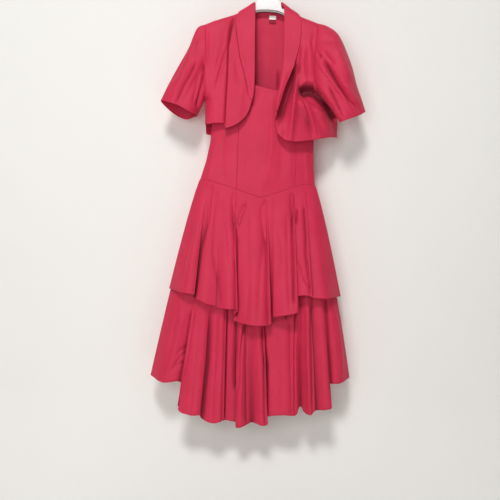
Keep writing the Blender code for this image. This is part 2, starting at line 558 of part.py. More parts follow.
def make_collar():
    """The shawl collar lies on the fronts' own points, moved out, and falls over the back neck."""
    down = np.array(COLLAR_ROWS)
    across = steps(6)[None, :, None]
    fold_left = smooth_line(FRONT_EDGE_LEFT[:6], down)[:, None]
    free_left = smooth_line(COLLAR_LEFT, down)[:, None]
    flat = free_left + (fold_left - free_left) * across
    add_sheet("collar_left", lifted(flat, front_left_y, -1, COLLAR_LIFT_LEFT), red)
    fold_right = smooth_line(FRONT_EDGE_RIGHT[:8], down)[:, None]
    free_right = smooth_line(COLLAR_RIGHT, down)[:, None]
    flat = fold_right + (free_right - fold_right) * across
    add_sheet("collar_right", lifted(flat, front_right_y, -1, COLLAR_LIFT_RIGHT), red)
    neck_x = BACK_NECK[0][0] + (BACK_NECK[-1][0] - BACK_NECK[0][0]) * NECK_STEPS
    neck = np.stack([neck_x, table(BACK_NECK, neck_x)], axis=1)
    fall_x = COLLAR_LEFT[0][0] + (COLLAR_RIGHT[0][0] - COLLAR_LEFT[0][0]) * NECK_STEPS
    fall_z = table(SHOULDER, fall_x) - COLLAR_BACK_FALL * np.sin(np.pi * NECK_STEPS) ** 0.8
    fall = np.stack([fall_x, fall_z], axis=1)
    flat = neck[None] + (fall - neck)[None] * steps(5)[:, None, None]
    add_sheet("collar_back", lifted(flat, back_y, 1, COLLAR_BACK_LIFT)[:, ::-1], red)


def make_sleeve(name, sign, armhole_front, armhole_back, front_rule, cuff_rows, puff, forward):
    """A tube from the armhole to the cuff, puffed at the cap and towards the front."""
    half = 12
    shares = 0.7 * (0.5 - 0.5 * np.cos(np.pi * steps(half + 1))) + 0.3 * steps(half + 1)
    front = smooth_line(armhole_front, shares)
    back = smooth_line(armhole_back, shares)
    ring = np.vstack([with_depth(front, front_rule), with_depth(back, back_y)[-2:0:-1]])
    share = np.arange(len(ring)) / len(ring)
    cuff = smooth_line([row[1:] for row in cuff_rows], share, closed=True)
    angle = 2 * np.pi * share
    up = np.clip(np.cos(angle), 0.0, 1.0)
    ring = ring + np.stack([sign * (SLEEVE_OUT + SLEEVE_OUT_TOP * up), -SLEEVE_ASIDE * np.sin(angle),
                            SLEEVE_UP * up], axis=1)
    ahead = np.clip(np.sin(angle - 0.35), 0.0, 1.0)
    cap = puff * (0.12 + 0.88 * up ** 0.6)
    bulge = np.stack([sign * 0.87 * cap * up, -cap * np.sin(angle) - forward * ahead, 0.5 * cap * up], axis=1)
    v = steps(9)[:, None, None]
    swell = 4 * v ** 0.55 * (1 - v ** 0.55)
    grid = ring + (cuff - ring) * v + bulge * swell
    add_sheet(name, grid if sign < 0 else grid[:, ::-1], red, closed=True)


def make_labels():
    """Two sewn labels at the back neck, inside, bare."""
    for name, box, paint in (("neck_label", NECK_LABEL, cream), ("size_label", SIZE_LABEL, dark_label)):
        left, right, top, bottom = box
        x = np.linspace(left, right, 4)
        z = np.linspace(top, bottom, 4)
        flat = np.stack(np.meshgrid(x, z), axis=-1)
        inner = with_depth(flat, back_y)
        inner[..., 1] -= CLOTH + LABEL_LIFT + LABEL_WALL
        add_sheet(name, inner, paint, wall=LABEL_WALL)


def hanger_section(x, top, bottom, half_depth, chamfer):
    low, high = bottom + chamfer, top - chamfer
    inner = half_depth - chamfer
    return [(x, -half_depth, low), (x, -half_depth, high), (x, -inner, top), (x, inner, top),
            (x, half_depth, high), (x, half_depth, low), (x, inner, bottom), (x, -inner, bottom)]


def loft(name, sections, paint):
    """A closed solid through rings of equal point counts."""
    size = len(sections[0])
    points = [point for section in sections for point in section]
    faces = [tuple(range(size)), tuple(range(len(points) - 1, len(points) - size - 1, -1))]
    for i in range(len(sections) - 1):
        for j in range(size):
            k = (j + 1) % size
            faces.append((i * size + j, (i + 1) * size + j, (i + 1) * size + k, i * size + k))
    return add_object(name, points, faces, paint)


def hanger_edges(x):
    distance = np.abs(x)
    if distance <= HANGER_HEAD[-1][0]:
        return table(HANGER_HEAD, distance, 1), table(HANGER_HEAD, distance, 2)
    return arm_top(x), table(HANGER_ARM_BOTTOM, distance)


def make_hanger():
    head = [row[0] for row in HANGER_HEAD]
    half = head + list(HANGER_ARM_STATIONS)
    stations = [-x for x in half[:0:-1]] + half
    sections = []
    for x in stations:
        top, bottom = hanger_edges(x)
        sections.append(hanger_section(x, top, bottom, HANGER_HALF_DEPTH, HANGER_CHAMFER))
    loft("hanger_body", sections, white)

    sections = []
    for x in [x for x in stations if abs(x) <= RIM_HALF_WIDTH]:
        bottom = hanger_edges(x)[1] - SEAM_GAP
        sections.append(hanger_section(x, bottom, bottom - RIM_HEIGHT, RIM_HALF_DEPTH, RIM_CHAMFER))
    loft("hanger_rim", sections, taupe)

    radius = HOOK_RADIUS + HOOK_WIRE
    centre_z = -HOOK_RADIUS
    turn = np.radians(np.linspace(*HOOK_BEND, 26))
    bend = [(radius * math.cos(a), centre_z + radius * math.sin(a)) for a in turn]
    points = bend[:-1] + list(HOOK_NECK)
    curve = bpy.data.curves.new("hanger_hook", "CURVE")
    curve.dimensions = "3D"
    curve.bevel_depth = HOOK_WIRE
    curve.bevel_resolution = 2
    curve.use_fill_caps = True
    spline = curve.splines.new("POLY")
    spline.points.add(len(points) - 1)
    for slot, (x, z) in zip(spline.points, points):
        slot.co = (x, 0.0, z, 1.0)
    curve.materials.append(steel)
    hook = bpy.data.objects.new("hanger_hook", curve)
    collection.objects.link(hook)


clear_scene()
collection = bpy.data.collections.new("flamenco_dress")
bpy.context.scene.collection.children.link(collection)
red = material("crepe_red", RED, 0.62)
cream = material("label_cream", LABEL_CREAM, 0.7)
dark_label = material("label_red", LABEL_RED, 0.7)
white = material("hanger_white", HANGER_WHITE, 0.35)
taupe = material("rim_taupe", RIM_TAUPE, 0.5)
steel = material("hook_steel", STEEL, 0.25, 1.0)

make_bodice()
make_straps()
make_flounces()
make_jacket_body()
make_collar()
make_sleeve("sleeve_left", -1, ARMHOLE_LEFT, ARMHOLE_LEFT, front_left_y, CUFF_LEFT, 0.012, 0.002)
make_sleeve("sleeve_right", 1, ARMHOLE_RIGHT, ARMHOLE_BACK_RIGHT, front_right_y, CUFF_RIGHT, 0.038, 0.018)
make_labels()
make_hanger()
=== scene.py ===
# Red flamenco dress with two flounces under its short open jacket, hanging on a plastic hanger.
# Metres, +Z up, the front faces -Y, left and right are the viewer's, the origin is inside the hook. The
# tables of creases and broad folds are in millimetres.
# Every piece is a surface of two parameters, a grid whose rows run down it and columns across it.
import math

import bmesh
import bpy
import numpy as np
from mathutils import Matrix, Vector


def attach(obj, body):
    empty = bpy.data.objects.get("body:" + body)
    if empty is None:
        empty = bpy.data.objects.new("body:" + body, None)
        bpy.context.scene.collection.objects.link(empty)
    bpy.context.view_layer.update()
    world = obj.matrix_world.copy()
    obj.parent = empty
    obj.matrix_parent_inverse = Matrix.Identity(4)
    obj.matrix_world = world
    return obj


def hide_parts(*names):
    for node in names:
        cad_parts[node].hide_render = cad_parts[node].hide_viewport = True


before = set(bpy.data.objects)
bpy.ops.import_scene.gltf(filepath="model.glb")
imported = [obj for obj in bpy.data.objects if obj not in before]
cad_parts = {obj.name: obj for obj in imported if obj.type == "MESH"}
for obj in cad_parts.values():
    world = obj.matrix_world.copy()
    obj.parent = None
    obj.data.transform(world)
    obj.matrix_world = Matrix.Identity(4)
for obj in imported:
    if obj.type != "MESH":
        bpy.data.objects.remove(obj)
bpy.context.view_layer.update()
print("frame loaded:", len(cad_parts), "nodes")

# Shape tools


def evenShares(count):
    return np.linspace(0.0, 1.0, count)


def crowdedShares(count, places):
    # shares of 0 to 1 whose density is 1 + the sum of gain * exp(-((u - centre) / width)^2)
    fine = np.linspace(0.0, 1.0, 2001)
    density = np.ones_like(fine)
    for centre, width, gain in places:
        density += gain * np.exp(-((fine - centre) / width) ** 2)
    total = np.concatenate([[0.0], np.cumsum(0.5 * (density[1:] + density[:-1]))])
    return np.interp(evenShares(count), total / total[-1], fine)


def smoothStep(value):
    # 3t^2 - 2t^3 of the value held between 0 and 1
    t = np.clip(value, 0.0, 1.0)
    return t * t * (3.0 - 2.0 * t)


def roundOver(distance, reach):
    # a quarter of an ellipse: sqrt(1 - (1 - t)^2), with t the distance over the reach
    t = np.clip(distance / reach, 0.0, 1.0)
    return np.sqrt(1.0 - (1.0 - t) ** 2)


def readTable(rows, at, column=1):
    # a column read in straight lines between its rows, against the first column
    values = np.array(sorted(rows), dtype=float)
    return np.interp(at, values[:, 0], values[:, column])


def byHeight(points):
    return [(z, x) for x, z in points]


def lengthAlong(points):
    return np.concatenate([[0.0], np.cumsum(np.linalg.norm(np.diff(points, axis=0), axis=1))])


def straightLine(points, shares):
    # points at the given shares of a polyline's length
    points = np.array(points, dtype=float)
    length = lengthAlong(points)
    return np.stack([np.interp(shares * length[-1], length, p) for p in points.T], axis=1)


def smoothLine(points, shares, closed=False):
    # a Catmull-Rom curve through the points, read at shares of its length
    knots = np.array(points, dtype=float)
    if closed:
        knots = np.vstack([knots[-1], knots, knots[0], knots[1]])
    else:
        knots = np.vstack([2 * knots[0] - knots[1], knots, 2 * knots[-1] - knots[-2]])
    a, b, c, d = (knots[k:len(knots) - 3 + k, None] for k in range(4))
    p = np.linspace(0.0, 1.0, 24, endpoint=False)[None, :, None]
    bent = (2 * a - 5 * b + 4 * c - d) * p ** 2 + (3 * b - a - 3 * c + d) * p ** 3
    fine = 0.5 * (2 * b + (c - a) * p + bent)
    return straightLine(np.vstack([fine.reshape(-1, knots.shape[1]), knots[-2]]), shares)


def panelBetween(top, bottom, left, right, across, down):
    # Coons patch: the two ruled surfaces between opposite edges, less the one through the corners
    s, t = across[None, :, None], down[:, None, None]
    corners = (1 - t) * ((1 - s) * top[0] + s * top[-1]) + t * ((1 - s) * bottom[0] + s * bottom[-1])
    return (1 - t) * top[None] + t * bottom[None] + (1 - s) * left[:, None] + s * right[:, None] - corners


def unitVectors(vectors):
    return vectors / np.maximum(np.linalg.norm(vectors, axis=-1, keepdims=True), 1e-9)


def withDepth(flat, depth):
    # the panel's (x, z) with y from the depth rule
    x, z = flat[..., 0], flat[..., 1]
    return np.stack([x, depth(x, z), z], axis=-1)


def outwardOf(grid, closed=False):
    # cross product of the steps down and across, which points away from the body
    wide = np.concatenate([grid[:, -1:], grid, grid[:, :1]], axis=1) if closed else grid
    normal = unitVectors(np.cross(np.gradient(wide, axis=0), np.gradient(wide, axis=1)))
    return normal[:, 1:-1] if closed else normal


def creaseHeight(x, z, creases):
    # Each crease is height * exp(-(sqrt(d^2 + tip^2) - tip) / width), d measured to its path. The width
    # differs on its two sides, and the height fades to the path's ends, over 0.3 of it if nothing is said.
    x, z = 1000 * x, 1000 * z
    total = np.zeros_like(x)
    for path, height, widthLeft, widthRight, tip, *ends in creases:
        reach = ends[0] if ends else 0.3
        points = np.array(path, dtype=float)
        length = lengthAlong(points)
        nearest = np.full_like(x, 9000.0)
        side = np.zeros_like(x)
        share = np.zeros_like(x)
        for start, end, before, after in zip(points[:-1], points[1:], length[:-1], length[1:]):
            run = end - start
            t = np.clip(((x - start[0]) * run[0] + (z - start[1]) * run[1]) / (run @ run), 0.0, 1.0)
            asideX = x - start[0] - t * run[0]
            asideZ = z - start[1] - t * run[1]
            distance = np.hypot(asideX, asideZ)
            closer = distance < nearest
            nearest = np.where(closer, distance, nearest)
            side = np.where(closer, run[0] * asideZ - run[1] * asideX, side)
            share = np.where(closer, (before + t * (after - before)) / length[-1], share)
        width = np.where(side > 0, widthRight, widthLeft)
        fade = smoothStep(share / reach) * smoothStep((1.0 - share) / reach)
        total += height * (0.12 + 0.88 * fade) * np.exp(-(np.hypot(nearest, tip) - tip) / width)
    return total / 1000


def lengthsOf(grid):
    # how far each point lies down its column and along its row
    down = np.zeros(grid.shape[:2])
    across = np.zeros(grid.shape[:2])
    down[1:] = np.cumsum(np.linalg.norm(np.diff(grid, axis=0), axis=-1), axis=0)
    across[:, 1:] = np.cumsum(np.linalg.norm(np.diff(grid, axis=1), axis=-1), axis=1)
    return down, across


def closedUp(grid, closed):
    # a tube's grid with its first column again at the end
    return np.concatenate([grid, grid[:, :1]], axis=1) if closed else grid


def edgeDistances(grid, sides):
    # along and away from the nearest of the named edges, in metres
    down, across = lengthsOf(grid)
    found = {
        "top": (across[:1], down), "bottom": (across[-1:], down[-1:] - down),
        "left": (down[:, :1], across), "right": (down[:, -1:], across[:, -1:] - across),
    }
    along = np.zeros(down.shape)
    away = np.ones(down.shape)
    for side in sides:
        nearer = found[side][1] < away
        along = np.where(nearer, found[side][0], along)
        away = np.where(nearer, found[side][1], away)
    return along, away


# Cloth pieces
# foldReach and the depth after it set the painted shade in creases: how far round the crease depth is
# measured, and the depth at which the shade is full
cloth = {"wall": 0.0011, "seamDip": 0.00025, "seamWidth": 0.0018, "foldReach": 0.02, "paintedFullShadeDepth": 0.0095}


def foldDepth(grid, closed):
    # how far each point lies below the mean of the cloth within foldReach of it, along its normal
    mean = grid
    for axis in (0, 1):
        step = np.linalg.norm(np.diff(grid, axis=axis), axis=-1).mean()
        half = max(1, int(round(cloth["foldReach"] / step)))
        room = [(0, 0), (0, 0), (0, 0)]
        room[axis] = (half, half)
        if closed and axis == 1:
            wide = np.pad(mean, room, mode="wrap")
        else:
            wide = np.pad(mean, room, mode="reflect", reflect_type="odd")
        total = np.cumsum(wide, axis=axis)
        total = np.concatenate([np.zeros_like(np.take(total, [0], axis=axis)), total], axis=axis)
        count = grid.shape[axis]
        ends = np.take(total, np.arange(count) + 2 * half + 1, axis=axis)
        mean = (ends - np.take(total, np.arange(count), axis=axis)) / (2 * half + 1)
    return np.sum((mean - grid) * outwardOf(grid, closed), axis=-1)


def addSurface(name, grid, material, closed=False, hems=()):
    # a mesh from the grid, with one UV map in metres for the weave and one for the hems
    rows, columns = grid.shape[:2]
    wide = closedUp(grid, closed)
    i, j = np.meshgrid(np.arange(rows - 1), np.arange(wide.shape[1] - 1), indexing="ij")
    cornerRows = np.stack([i, i + 1, i + 1, i], axis=-1).reshape(-1)
    cornerColumns = np.stack([j, j, j + 1, j + 1], axis=-1).reshape(-1)
    faces = (cornerRows * columns + cornerColumns % columns).reshape(-1, 4)
    mesh = bpy.data.meshes.new(name)
    mesh.from_pydata(grid.reshape(-1, 3).tolist(), [], faces.tolist())
    down, across = lengthsOf(wide)
    along, away = edgeDistances(wide, hems)
    for label, u, v in (("weave", across, down), ("hem", along, away)):
        layer = mesh.uv_layers.new(name=label)
        corners = np.stack([u[cornerRows, cornerColumns], v[cornerRows, cornerColumns]], axis=-1)
        layer.data.foreach_set("uv", corners.astype(np.float32).reshape(-1))
    mesh.materials.append(material)
    mesh.shade_smooth()
    piece = bpy.data.objects.new(name, mesh)
    bpy.context.scene.collection.objects.link(piece)
    return piece


def nodeName(name):
    # the CAD node that a piece stands for has the same name, written with low lines
    return "".join("_" + letter.lower() if letter.isupper() else letter for letter in name)


def addCloth(name, grid, restsOn, slot="crepe", closed=False, hems=(), sewn=(), wall=None, seen=1,
             givenPaintedShade=0.0):
    # A sewn edge dips by depth * exp(-(d / width)^2), then the shell gets its wall inwards. The fold
    # attribute is painted shade in the creases: foldDepth over the depth of full shade, eased, and no
    # less than the painted shade that is given.
    if sewn:
        away = edgeDistances(grid, sewn)[1]
        dip = cloth["seamDip"] * np.exp(-(away / cloth["seamWidth"]) ** 2)
        grid = grid - outwardOf(grid, closed) * dip[..., None]
    piece = addSurface(name, grid, clothMaterials[slot], closed, hems)
    # painted shade: this attribute darkens the colour where the cloth lies in a crease or a hollow
    fold = piece.data.attributes.new("fold", "FLOAT", "POINT")
    paintedShadeMask = np.maximum(smoothStep(seen * foldDepth(grid, closed) / cloth["paintedFullShadeDepth"]), givenPaintedShade)
    fold.data.foreach_set("value", paintedShadeMask.astype(np.float32).reshape(-1))
    shell = piece.modifiers.new("wall", "SOLIDIFY")
    shell.thickness = wall or cloth["wall"]
    shell.offset = -1.0
    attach(piece, "root")
    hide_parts(nodeName(name))
    wide = closedUp(grid, closed)
    down, across = lengthsOf(wide)
    return piece


# Materials


class Nodes:
    # short ways to place and join the nodes of one tree
    def __init__(self, tree):
        self.tree = tree

    def add(self, kind, inputs=None, **settings):
        node = self.tree.nodes.new(kind)
        for key, value in settings.items():
            setattr(node, key, value)
        for key, value in (inputs or {}).items():
            if isinstance(value, bpy.types.NodeSocket):
                self.tree.links.new(value, node.inputs[key])
            else:
                node.inputs[key].default_value = value
        return node

    def math(self, operation, first, second=0.0):
        return self.add("ShaderNodeMath", {0: first, 1: second}, operation=operation).outputs[0]

    def blend(self, factor, first, second):
        node = self.add("ShaderNodeMix", data_type="RGBA")
        for key, value in (("Factor", factor), ("A", first), ("B", second)):
            socket = next(s for s in node.inputs if s.name == key and s.enabled)
            if isinstance(value, bpy.types.NodeSocket):
                self.tree.links.new(value, socket)
            else:
                socket.default_value = (*value, 1.0)
        return next(s for s in node.outputs if s.enabled)

    def objectPlaces(self):
        return self.add("ShaderNodeTexCoord").outputs["Object"]

    def lengths(self, name="weave"):
        return self.add("ShaderNodeUVMap", uv_map=name).outputs[0]

    def noise(self, vector, scale, detail=3.0, roughness=0.5):
        inputs = {"Vector": vector, "Scale": scale, "Detail": detail, "Roughness": roughness}
        return self.add("ShaderNodeTexNoise", inputs).outputs[0]

    def stretched(self, vector, scales, detail=3.0):
        mapped = self.add("ShaderNodeMapping", {"Vector": vector, "Scale": scales}).outputs[0]
        return self.noise(mapped, 1.0, detail)

    def spread(self, value, low, high, toLow=0.0, toHigh=1.0):
        inputs = {0: value, 1: low, 2: high, 3: toLow, 4: toHigh}
        return self.add("ShaderNodeMapRange", inputs, clamp=True).outputs[0]

    def bump(self, height, strength, distance, below=None):
        inputs = {"Height": height, "Strength": strength, "Distance": distance}
        if below is not None:
            inputs["Normal"] = below
        return self.add("ShaderNodeBump", inputs).outputs[0]


def newGroup(name, places, numbers, results):
    # a node group with one vector input, then number inputs with their first values, and number outputs
    group = bpy.data.node_groups.new(name, "ShaderNodeTree")
    group.interface.new_socket(name=places, in_out="INPUT", socket_type="NodeSocketVector")
    for key, value in numbers.items():
        number = group.interface.new_socket(name=key, in_out="INPUT", socket_type="NodeSocketFloat")
        number.default_value = value
    for key in results:
        group.interface.new_socket(name=key, in_out="OUTPUT", socket_type="NodeSocketFloat")
    nodes = Nodes(group)
    return group, nodes, nodes.add("NodeGroupInput").outputs


def makeWeaveGroup():
    # crossed threads, sin(u) * sin(v) of the cloth's own lengths, broken up by a fine grain
    group, nodes, given = newGroup("crepeWeave", "Lengths", {"Thread": 0.0007, "Grain": 0.5},
                                   ("Height", "Mottle"))
    parts = nodes.add("ShaderNodeSeparateXYZ", {0: given["Lengths"]}).outputs
    turns = nodes.math("DIVIDE", 2 * math.pi, given["Thread"])
    warp = nodes.math("SINE", nodes.math("MULTIPLY", parts[0], turns))
    weft = nodes.math("SINE", nodes.math("MULTIPLY", parts[1], turns))
    threads = nodes.math("MULTIPLY", warp, weft)
    fine = nodes.noise(given["Lengths"], 900.0, 2.0)
    grain = nodes.math("MULTIPLY", nodes.math("SUBTRACT", fine, 0.5), given["Grain"])
    height = nodes.math("ADD", nodes.math("MULTIPLY", threads, 0.25), grain)
    broad = nodes.noise(nodes.objectPlaces(), 9.0, roughness=0.6)
    slub = nodes.stretched(given["Lengths"], (260.0, 14.0, 1.0), 2.0)
    mottle = nodes.math("ADD", nodes.math("MULTIPLY", broad, 0.7), nodes.math("MULTIPLY", slub, 0.3))
    nodes.add("NodeGroupOutput", {"Height": height, "Mottle": mottle})
    return group


def makeHemGroup():
    # a turned hem: a raised band beside the edge, and one row of stitches along its inner side
    group, nodes, given = newGroup("turnedHem", "Edge", {"Width": 0.012, "Stitch": 0.0032},
                                   ("Height", "Thread"))
    parts = nodes.add("ShaderNodeSeparateXYZ", {0: given["Edge"]}).outputs
    past = nodes.math("SUBTRACT", given["Width"], parts[1])
    band = nodes.spread(past, -0.0004, 0.0008)
    fromRow = nodes.math("ABSOLUTE", nodes.math("SUBTRACT", past, 0.0018))
    row = nodes.spread(fromRow, 0.0006, 0.0002)
    phase = nodes.math("FRACT", nodes.math("DIVIDE", parts[0], given["Stitch"]))
    inStitch = nodes.math("LESS_THAN", phase, 0.72)
    thread = nodes.math("MULTIPLY", row, inStitch)
    groove = nodes.math("MULTIPLY", nodes.math("SUBTRACT", row, thread), -0.6)
    height = nodes.math("ADD", nodes.math("MULTIPLY", band, 0.5),
                        nodes.math("ADD", nodes.math("MULTIPLY", thread, 0.25), groove))
    nodes.add("NodeGroupOutput", {"Height": height, "Thread": thread})
    return group


def newMaterial(name):
    material = bpy.data.materials.new(name)
    material.use_nodes = True
    material.node_tree.nodes.clear()
    return material, Nodes(material.node_tree)


def finishMaterial(nodes, colour, normal, roughness, sockets):
    inputs = {"Base Color": colour, "Normal": normal, "Roughness": roughness, **sockets}
    shader = nodes.add("ShaderNodeBsdfPrincipled", inputs)
    nodes.add("ShaderNodeOutputMaterial", {"Surface": shader.outputs[0]})


def clothMaterial(name, look):
    material, nodes = newMaterial(name)
    weaveInputs = {"Lengths": nodes.lengths(), "Thread": look["thread"], "Grain": look["grain"]}
    weave = nodes.add("ShaderNodeGroup", weaveInputs, node_tree=weaveGroup).outputs
    hemInputs = {"Edge": nodes.lengths("hem"), "Width": look["hemWidth"]}
    hem = nodes.add("ShaderNodeGroup", hemInputs, node_tree=hemGroup).outputs
    colour = nodes.blend(nodes.spread(weave["Mottle"], 0.3, 0.7), look["dark"], look["light"])
    colour = nodes.blend(nodes.math("MULTIPLY", hem["Thread"], 0.5), colour, look["threadColour"])
    # painted shade: the colour is blended towards a dark red by the fold attribute, darkest in creases and
    # hollows
    fold = nodes.add("ShaderNodeAttribute", attribute_name="fold").outputs["Fac"]
    colour = nodes.blend(nodes.math("MULTIPLY", fold, look["paintedShadeShare"]), colour, look["paintedShadeColour"])
    bump = nodes.bump(weave["Height"], look["bump"], 0.0004)
    bump = nodes.bump(hem["Height"], look["hemBump"], 0.001, bump)
    rough = nodes.spread(weave["Height"], -0.4, 0.4, look["roughness"] - 0.05, look["roughness"] + 0.05)
    sockets = {"Sheen Weight": look["sheen"], "Sheen Roughness": look["sheenRoughness"],
               "Sheen Tint": (*look["sheenTint"], 1.0), "Specular IOR Level": look["specular"]}
    finishMaterial(nodes, colour, bump, rough, sockets)
    return material


weaveGroup = makeWeaveGroup()
hemGroup = makeHemGroup()
crepeLook = {
    "dark": (0.53, 0.019, 0.06), "light": (0.61, 0.026, 0.076), "threadColour": (0.46, 0.016, 0.05),
    "thread": 0.0007, "grain": 0.6, "bump": 0.2, "hemWidth": 0.012, "hemBump": 0.35, "roughness": 0.6,
    "sheen": 0.1, "sheenRoughness": 0.45, "sheenTint": (1.0, 0.5, 0.58), "specular": 0.22,
    # painted shade: the share and the dark colour that creases and hollows are painted with
    "paintedShadeShare": 0.9, "paintedShadeColour": (0.115, 0.0028, 0.0115),
}
creamLook = {
    "dark": (0.96, 0.86, 0.8), "light": (0.99, 0.93, 0.88), "threadColour": (0.78, 0.58, 0.54),
    "thread": 0.0011, "grain": 0.3, "bump": 0.35, "hemWidth": 0.0022, "hemBump": 0.4, "roughness": 0.55,
    "sheen": 0.1, "sheenRoughness": 0.4, "sheenTint": (1.0, 1.0, 1.0), "specular": 0.4,
    "paintedShadeShare": 0.0, "paintedShadeColour": (0.78, 0.58, 0.54),
}
redLabelLook = {
    **creamLook, "dark": (0.26, 0.012, 0.03), "light": (0.34, 0.018, 0.045),
    "threadColour": (0.2, 0.01, 0.024), "bump": 0.3, "roughness": 0.65, "sheen": 0.02,
    "sheenTint": (1.0, 0.5, 0.6), "specular": 0.15,
}
clothMaterials = {
    "crepe": clothMaterial("crepeRed", crepeLook),
    "label_cream": clothMaterial("labelCream", creamLook),
    "label_red": clothMaterial("labelRed", redLabelLook),
}
print("cloth materials made")

# Dress bodice
bodice = {
    "columns": 74, "rows": 96, "gap": 0.0004,
    # height, left edge, right edge, half depth
    "torso": (
        (-0.335, -0.15, 0.156, 0.029), (-0.39, -0.158, 0.163, 0.031), (-0.45, -0.16, 0.164, 0.032),
        (-0.515, -0.163, 0.164, 0.033), (-0.58, -0.1745, 0.167, 0.036), (-0.637, -0.19, 0.174, 0.04),
        (-0.7, -0.205, 0.19, 0.041),
    ),
    "neckline": ((-0.078, -0.327), (-0.034, -0.335), (0.006, -0.344), (0.045, -0.35), (0.082, -0.347)),
    "seam": ((-0.19, -0.635), (-0.128, -0.649), (0.005, -0.689), (0.1335, -0.641), (0.174, -0.6365)),
    "princessLeft": ((-0.078, -0.327), (-0.075, -0.52), (-0.073, -0.67)),
    "princessRight": ((0.082, -0.347), (0.108, -0.52), (0.1095, -0.65)),
    "underarm": -0.392, "backTop": -0.345,
}
# In mm: path down the cloth in (x, z), height outwards, width to its left and right, softness of its tip.
# A last number is the share of the path over which the crease fades at each end.
bodiceCreases = (
    (((30, -350), (25, -391), (28, -464), (28.6, -537), (23.3, -590), (14.7, -629), (0, -674)),
     6.2, 10, 26, 3, 0.15),
    (((6, -420), (12, -520), (4, -610)), -2, 20, 10, 6),
    (((-9.1, -346.9), (-28.2, -384.3), (-42.3, -416.2)), -3, 6, 3, 2),
    (((-30, -345), (-38, -372), (-50, -410)), -4, 8, 7, 4),
    (((-154, -490), (-158, -570), (-164, -645)), 3.6, 4, 14, 2, 0.12),
    (((-121, -490), (-119, -575), (-114, -645)), -2.6, 10, 6, 4, 0.15),
    (((-34, -440), (-40, -540), (-36, -650)), -1.6, 14, 12, 8),
    (((60, -500), (64, -590), (60, -655)), -2, 14, 10, 6),
    (((88, -470), (92, -560), (90, -640)), 1.6, 10, 10, 6),
    (((140, -520), (146, -590), (150, -640)), 2.4, 6, 10, 4),
)
backBodiceCreases = (
    (((-60, -400), (-52, -520), (-70, -630)), 3, 20, 10, 4),
    (((10, -450), (18, -560), (6, -635)), -2.4, 12, 18, 6),
    (((80, -380), (70, -500), (90, -620)), 2.8, 10, 22, 4),
)


def torsoDepth(x, z, side):
    # half a lens: depth * sqrt(1 - q^2), with q the place between the two side seams
    left = readTable(bodice["torso"], z, 1)
    right = readTable(bodice["torso"], z, 2)
    q = np.clip((2 * x - left - right) / (right - left), -1.0, 1.0)
    lens = readTable(bodice["torso"], z, 3) * np.sqrt(1.0 - q ** 2)
    pressed = creaseHeight(x, z, bodiceCreases if side < 0 else backBodiceCreases)
    return side * (lens + bodice["gap"] + pressed * smoothStep((1.0 - np.abs(q)) / 0.12))


def makeBodice():
    down = evenShares(bodice["rows"])
    across = evenShares(bodice["columns"])
    nearSide = 1.0 - np.cos(0.5 * np.pi * across)
    seam = np.array(bodice["seam"])
    feet = {}
    for name in ("princessLeft", "princessRight"):
        x = bodice[name][-1][0]
        feet[name] = (x, float(readTable(seam.tolist(), x)))
    lines = {name: smoothLine(bodice[name][:-1] + (feet[name],), down) for name in feet}
    sides = {}
    for name, column, foot in (("left", 1, seam[0]), ("right", 2, seam[-1])):
        z = np.linspace(bodice["underarm"], foot[1], 60)
        sides[name] = straightLine(np.stack([readTable(bodice["torso"], z, column), z], axis=1), down)

    def frontDepth(x, z):
        return torsoDepth(x, z, -1)

    def backDepth(x, z):
        return torsoDepth(x, z, 1)

    edges = {"hems": ("top",), "sewn": ("left", "right")}
    bottom = straightLine((feet["princessLeft"], seam[2], feet["princessRight"]), across)
    flat = panelBetween(smoothLine(bodice["neckline"], across), bottom, lines["princessLeft"],
                        lines["princessRight"], across, down)
    addCloth("dressFrontCentre", withDepth(flat, frontDepth), ["strap_left", "strap_right"], **edges)

    flat = panelBetween(straightLine((sides["left"][0], bodice["neckline"][0]), nearSide),
                        straightLine((seam[0], seam[1], feet["princessLeft"]), nearSide),
                        sides["left"], lines["princessLeft"], nearSide, down)
    addCloth("dressFrontSideLeft", withDepth(flat, frontDepth), ["strap_left"], **edges)

    nearSide = 1.0 - nearSide[::-1]
    flat = panelBetween(straightLine((bodice["neckline"][-1], sides["right"][0]), nearSide),
                        straightLine((feet["princessRight"], seam[3], seam[4]), nearSide),
                        lines["princessRight"], sides["right"], nearSide, down)
    addCloth("dressFrontSideRight", withDepth(flat, frontDepth), ["strap_right"], **edges)

    across = 0.5 - 0.5 * np.cos(np.pi * evenShares(2 * bodice["columns"]))
    top = (sides["left"][0], (-0.08, bodice["backTop"]), (0.08, bodice["backTop"]), sides["right"][0])
    flat = panelBetween(straightLine(top, across), straightLine((seam[0], seam[-1]), across),
                        sides["left"], sides["right"], across, down)
    addCloth("dressBack", withDepth(flat, backDepth)[:, ::-1], ["strap_left", "strap_right"], **edges)


makeBodice()
print("bodice made")

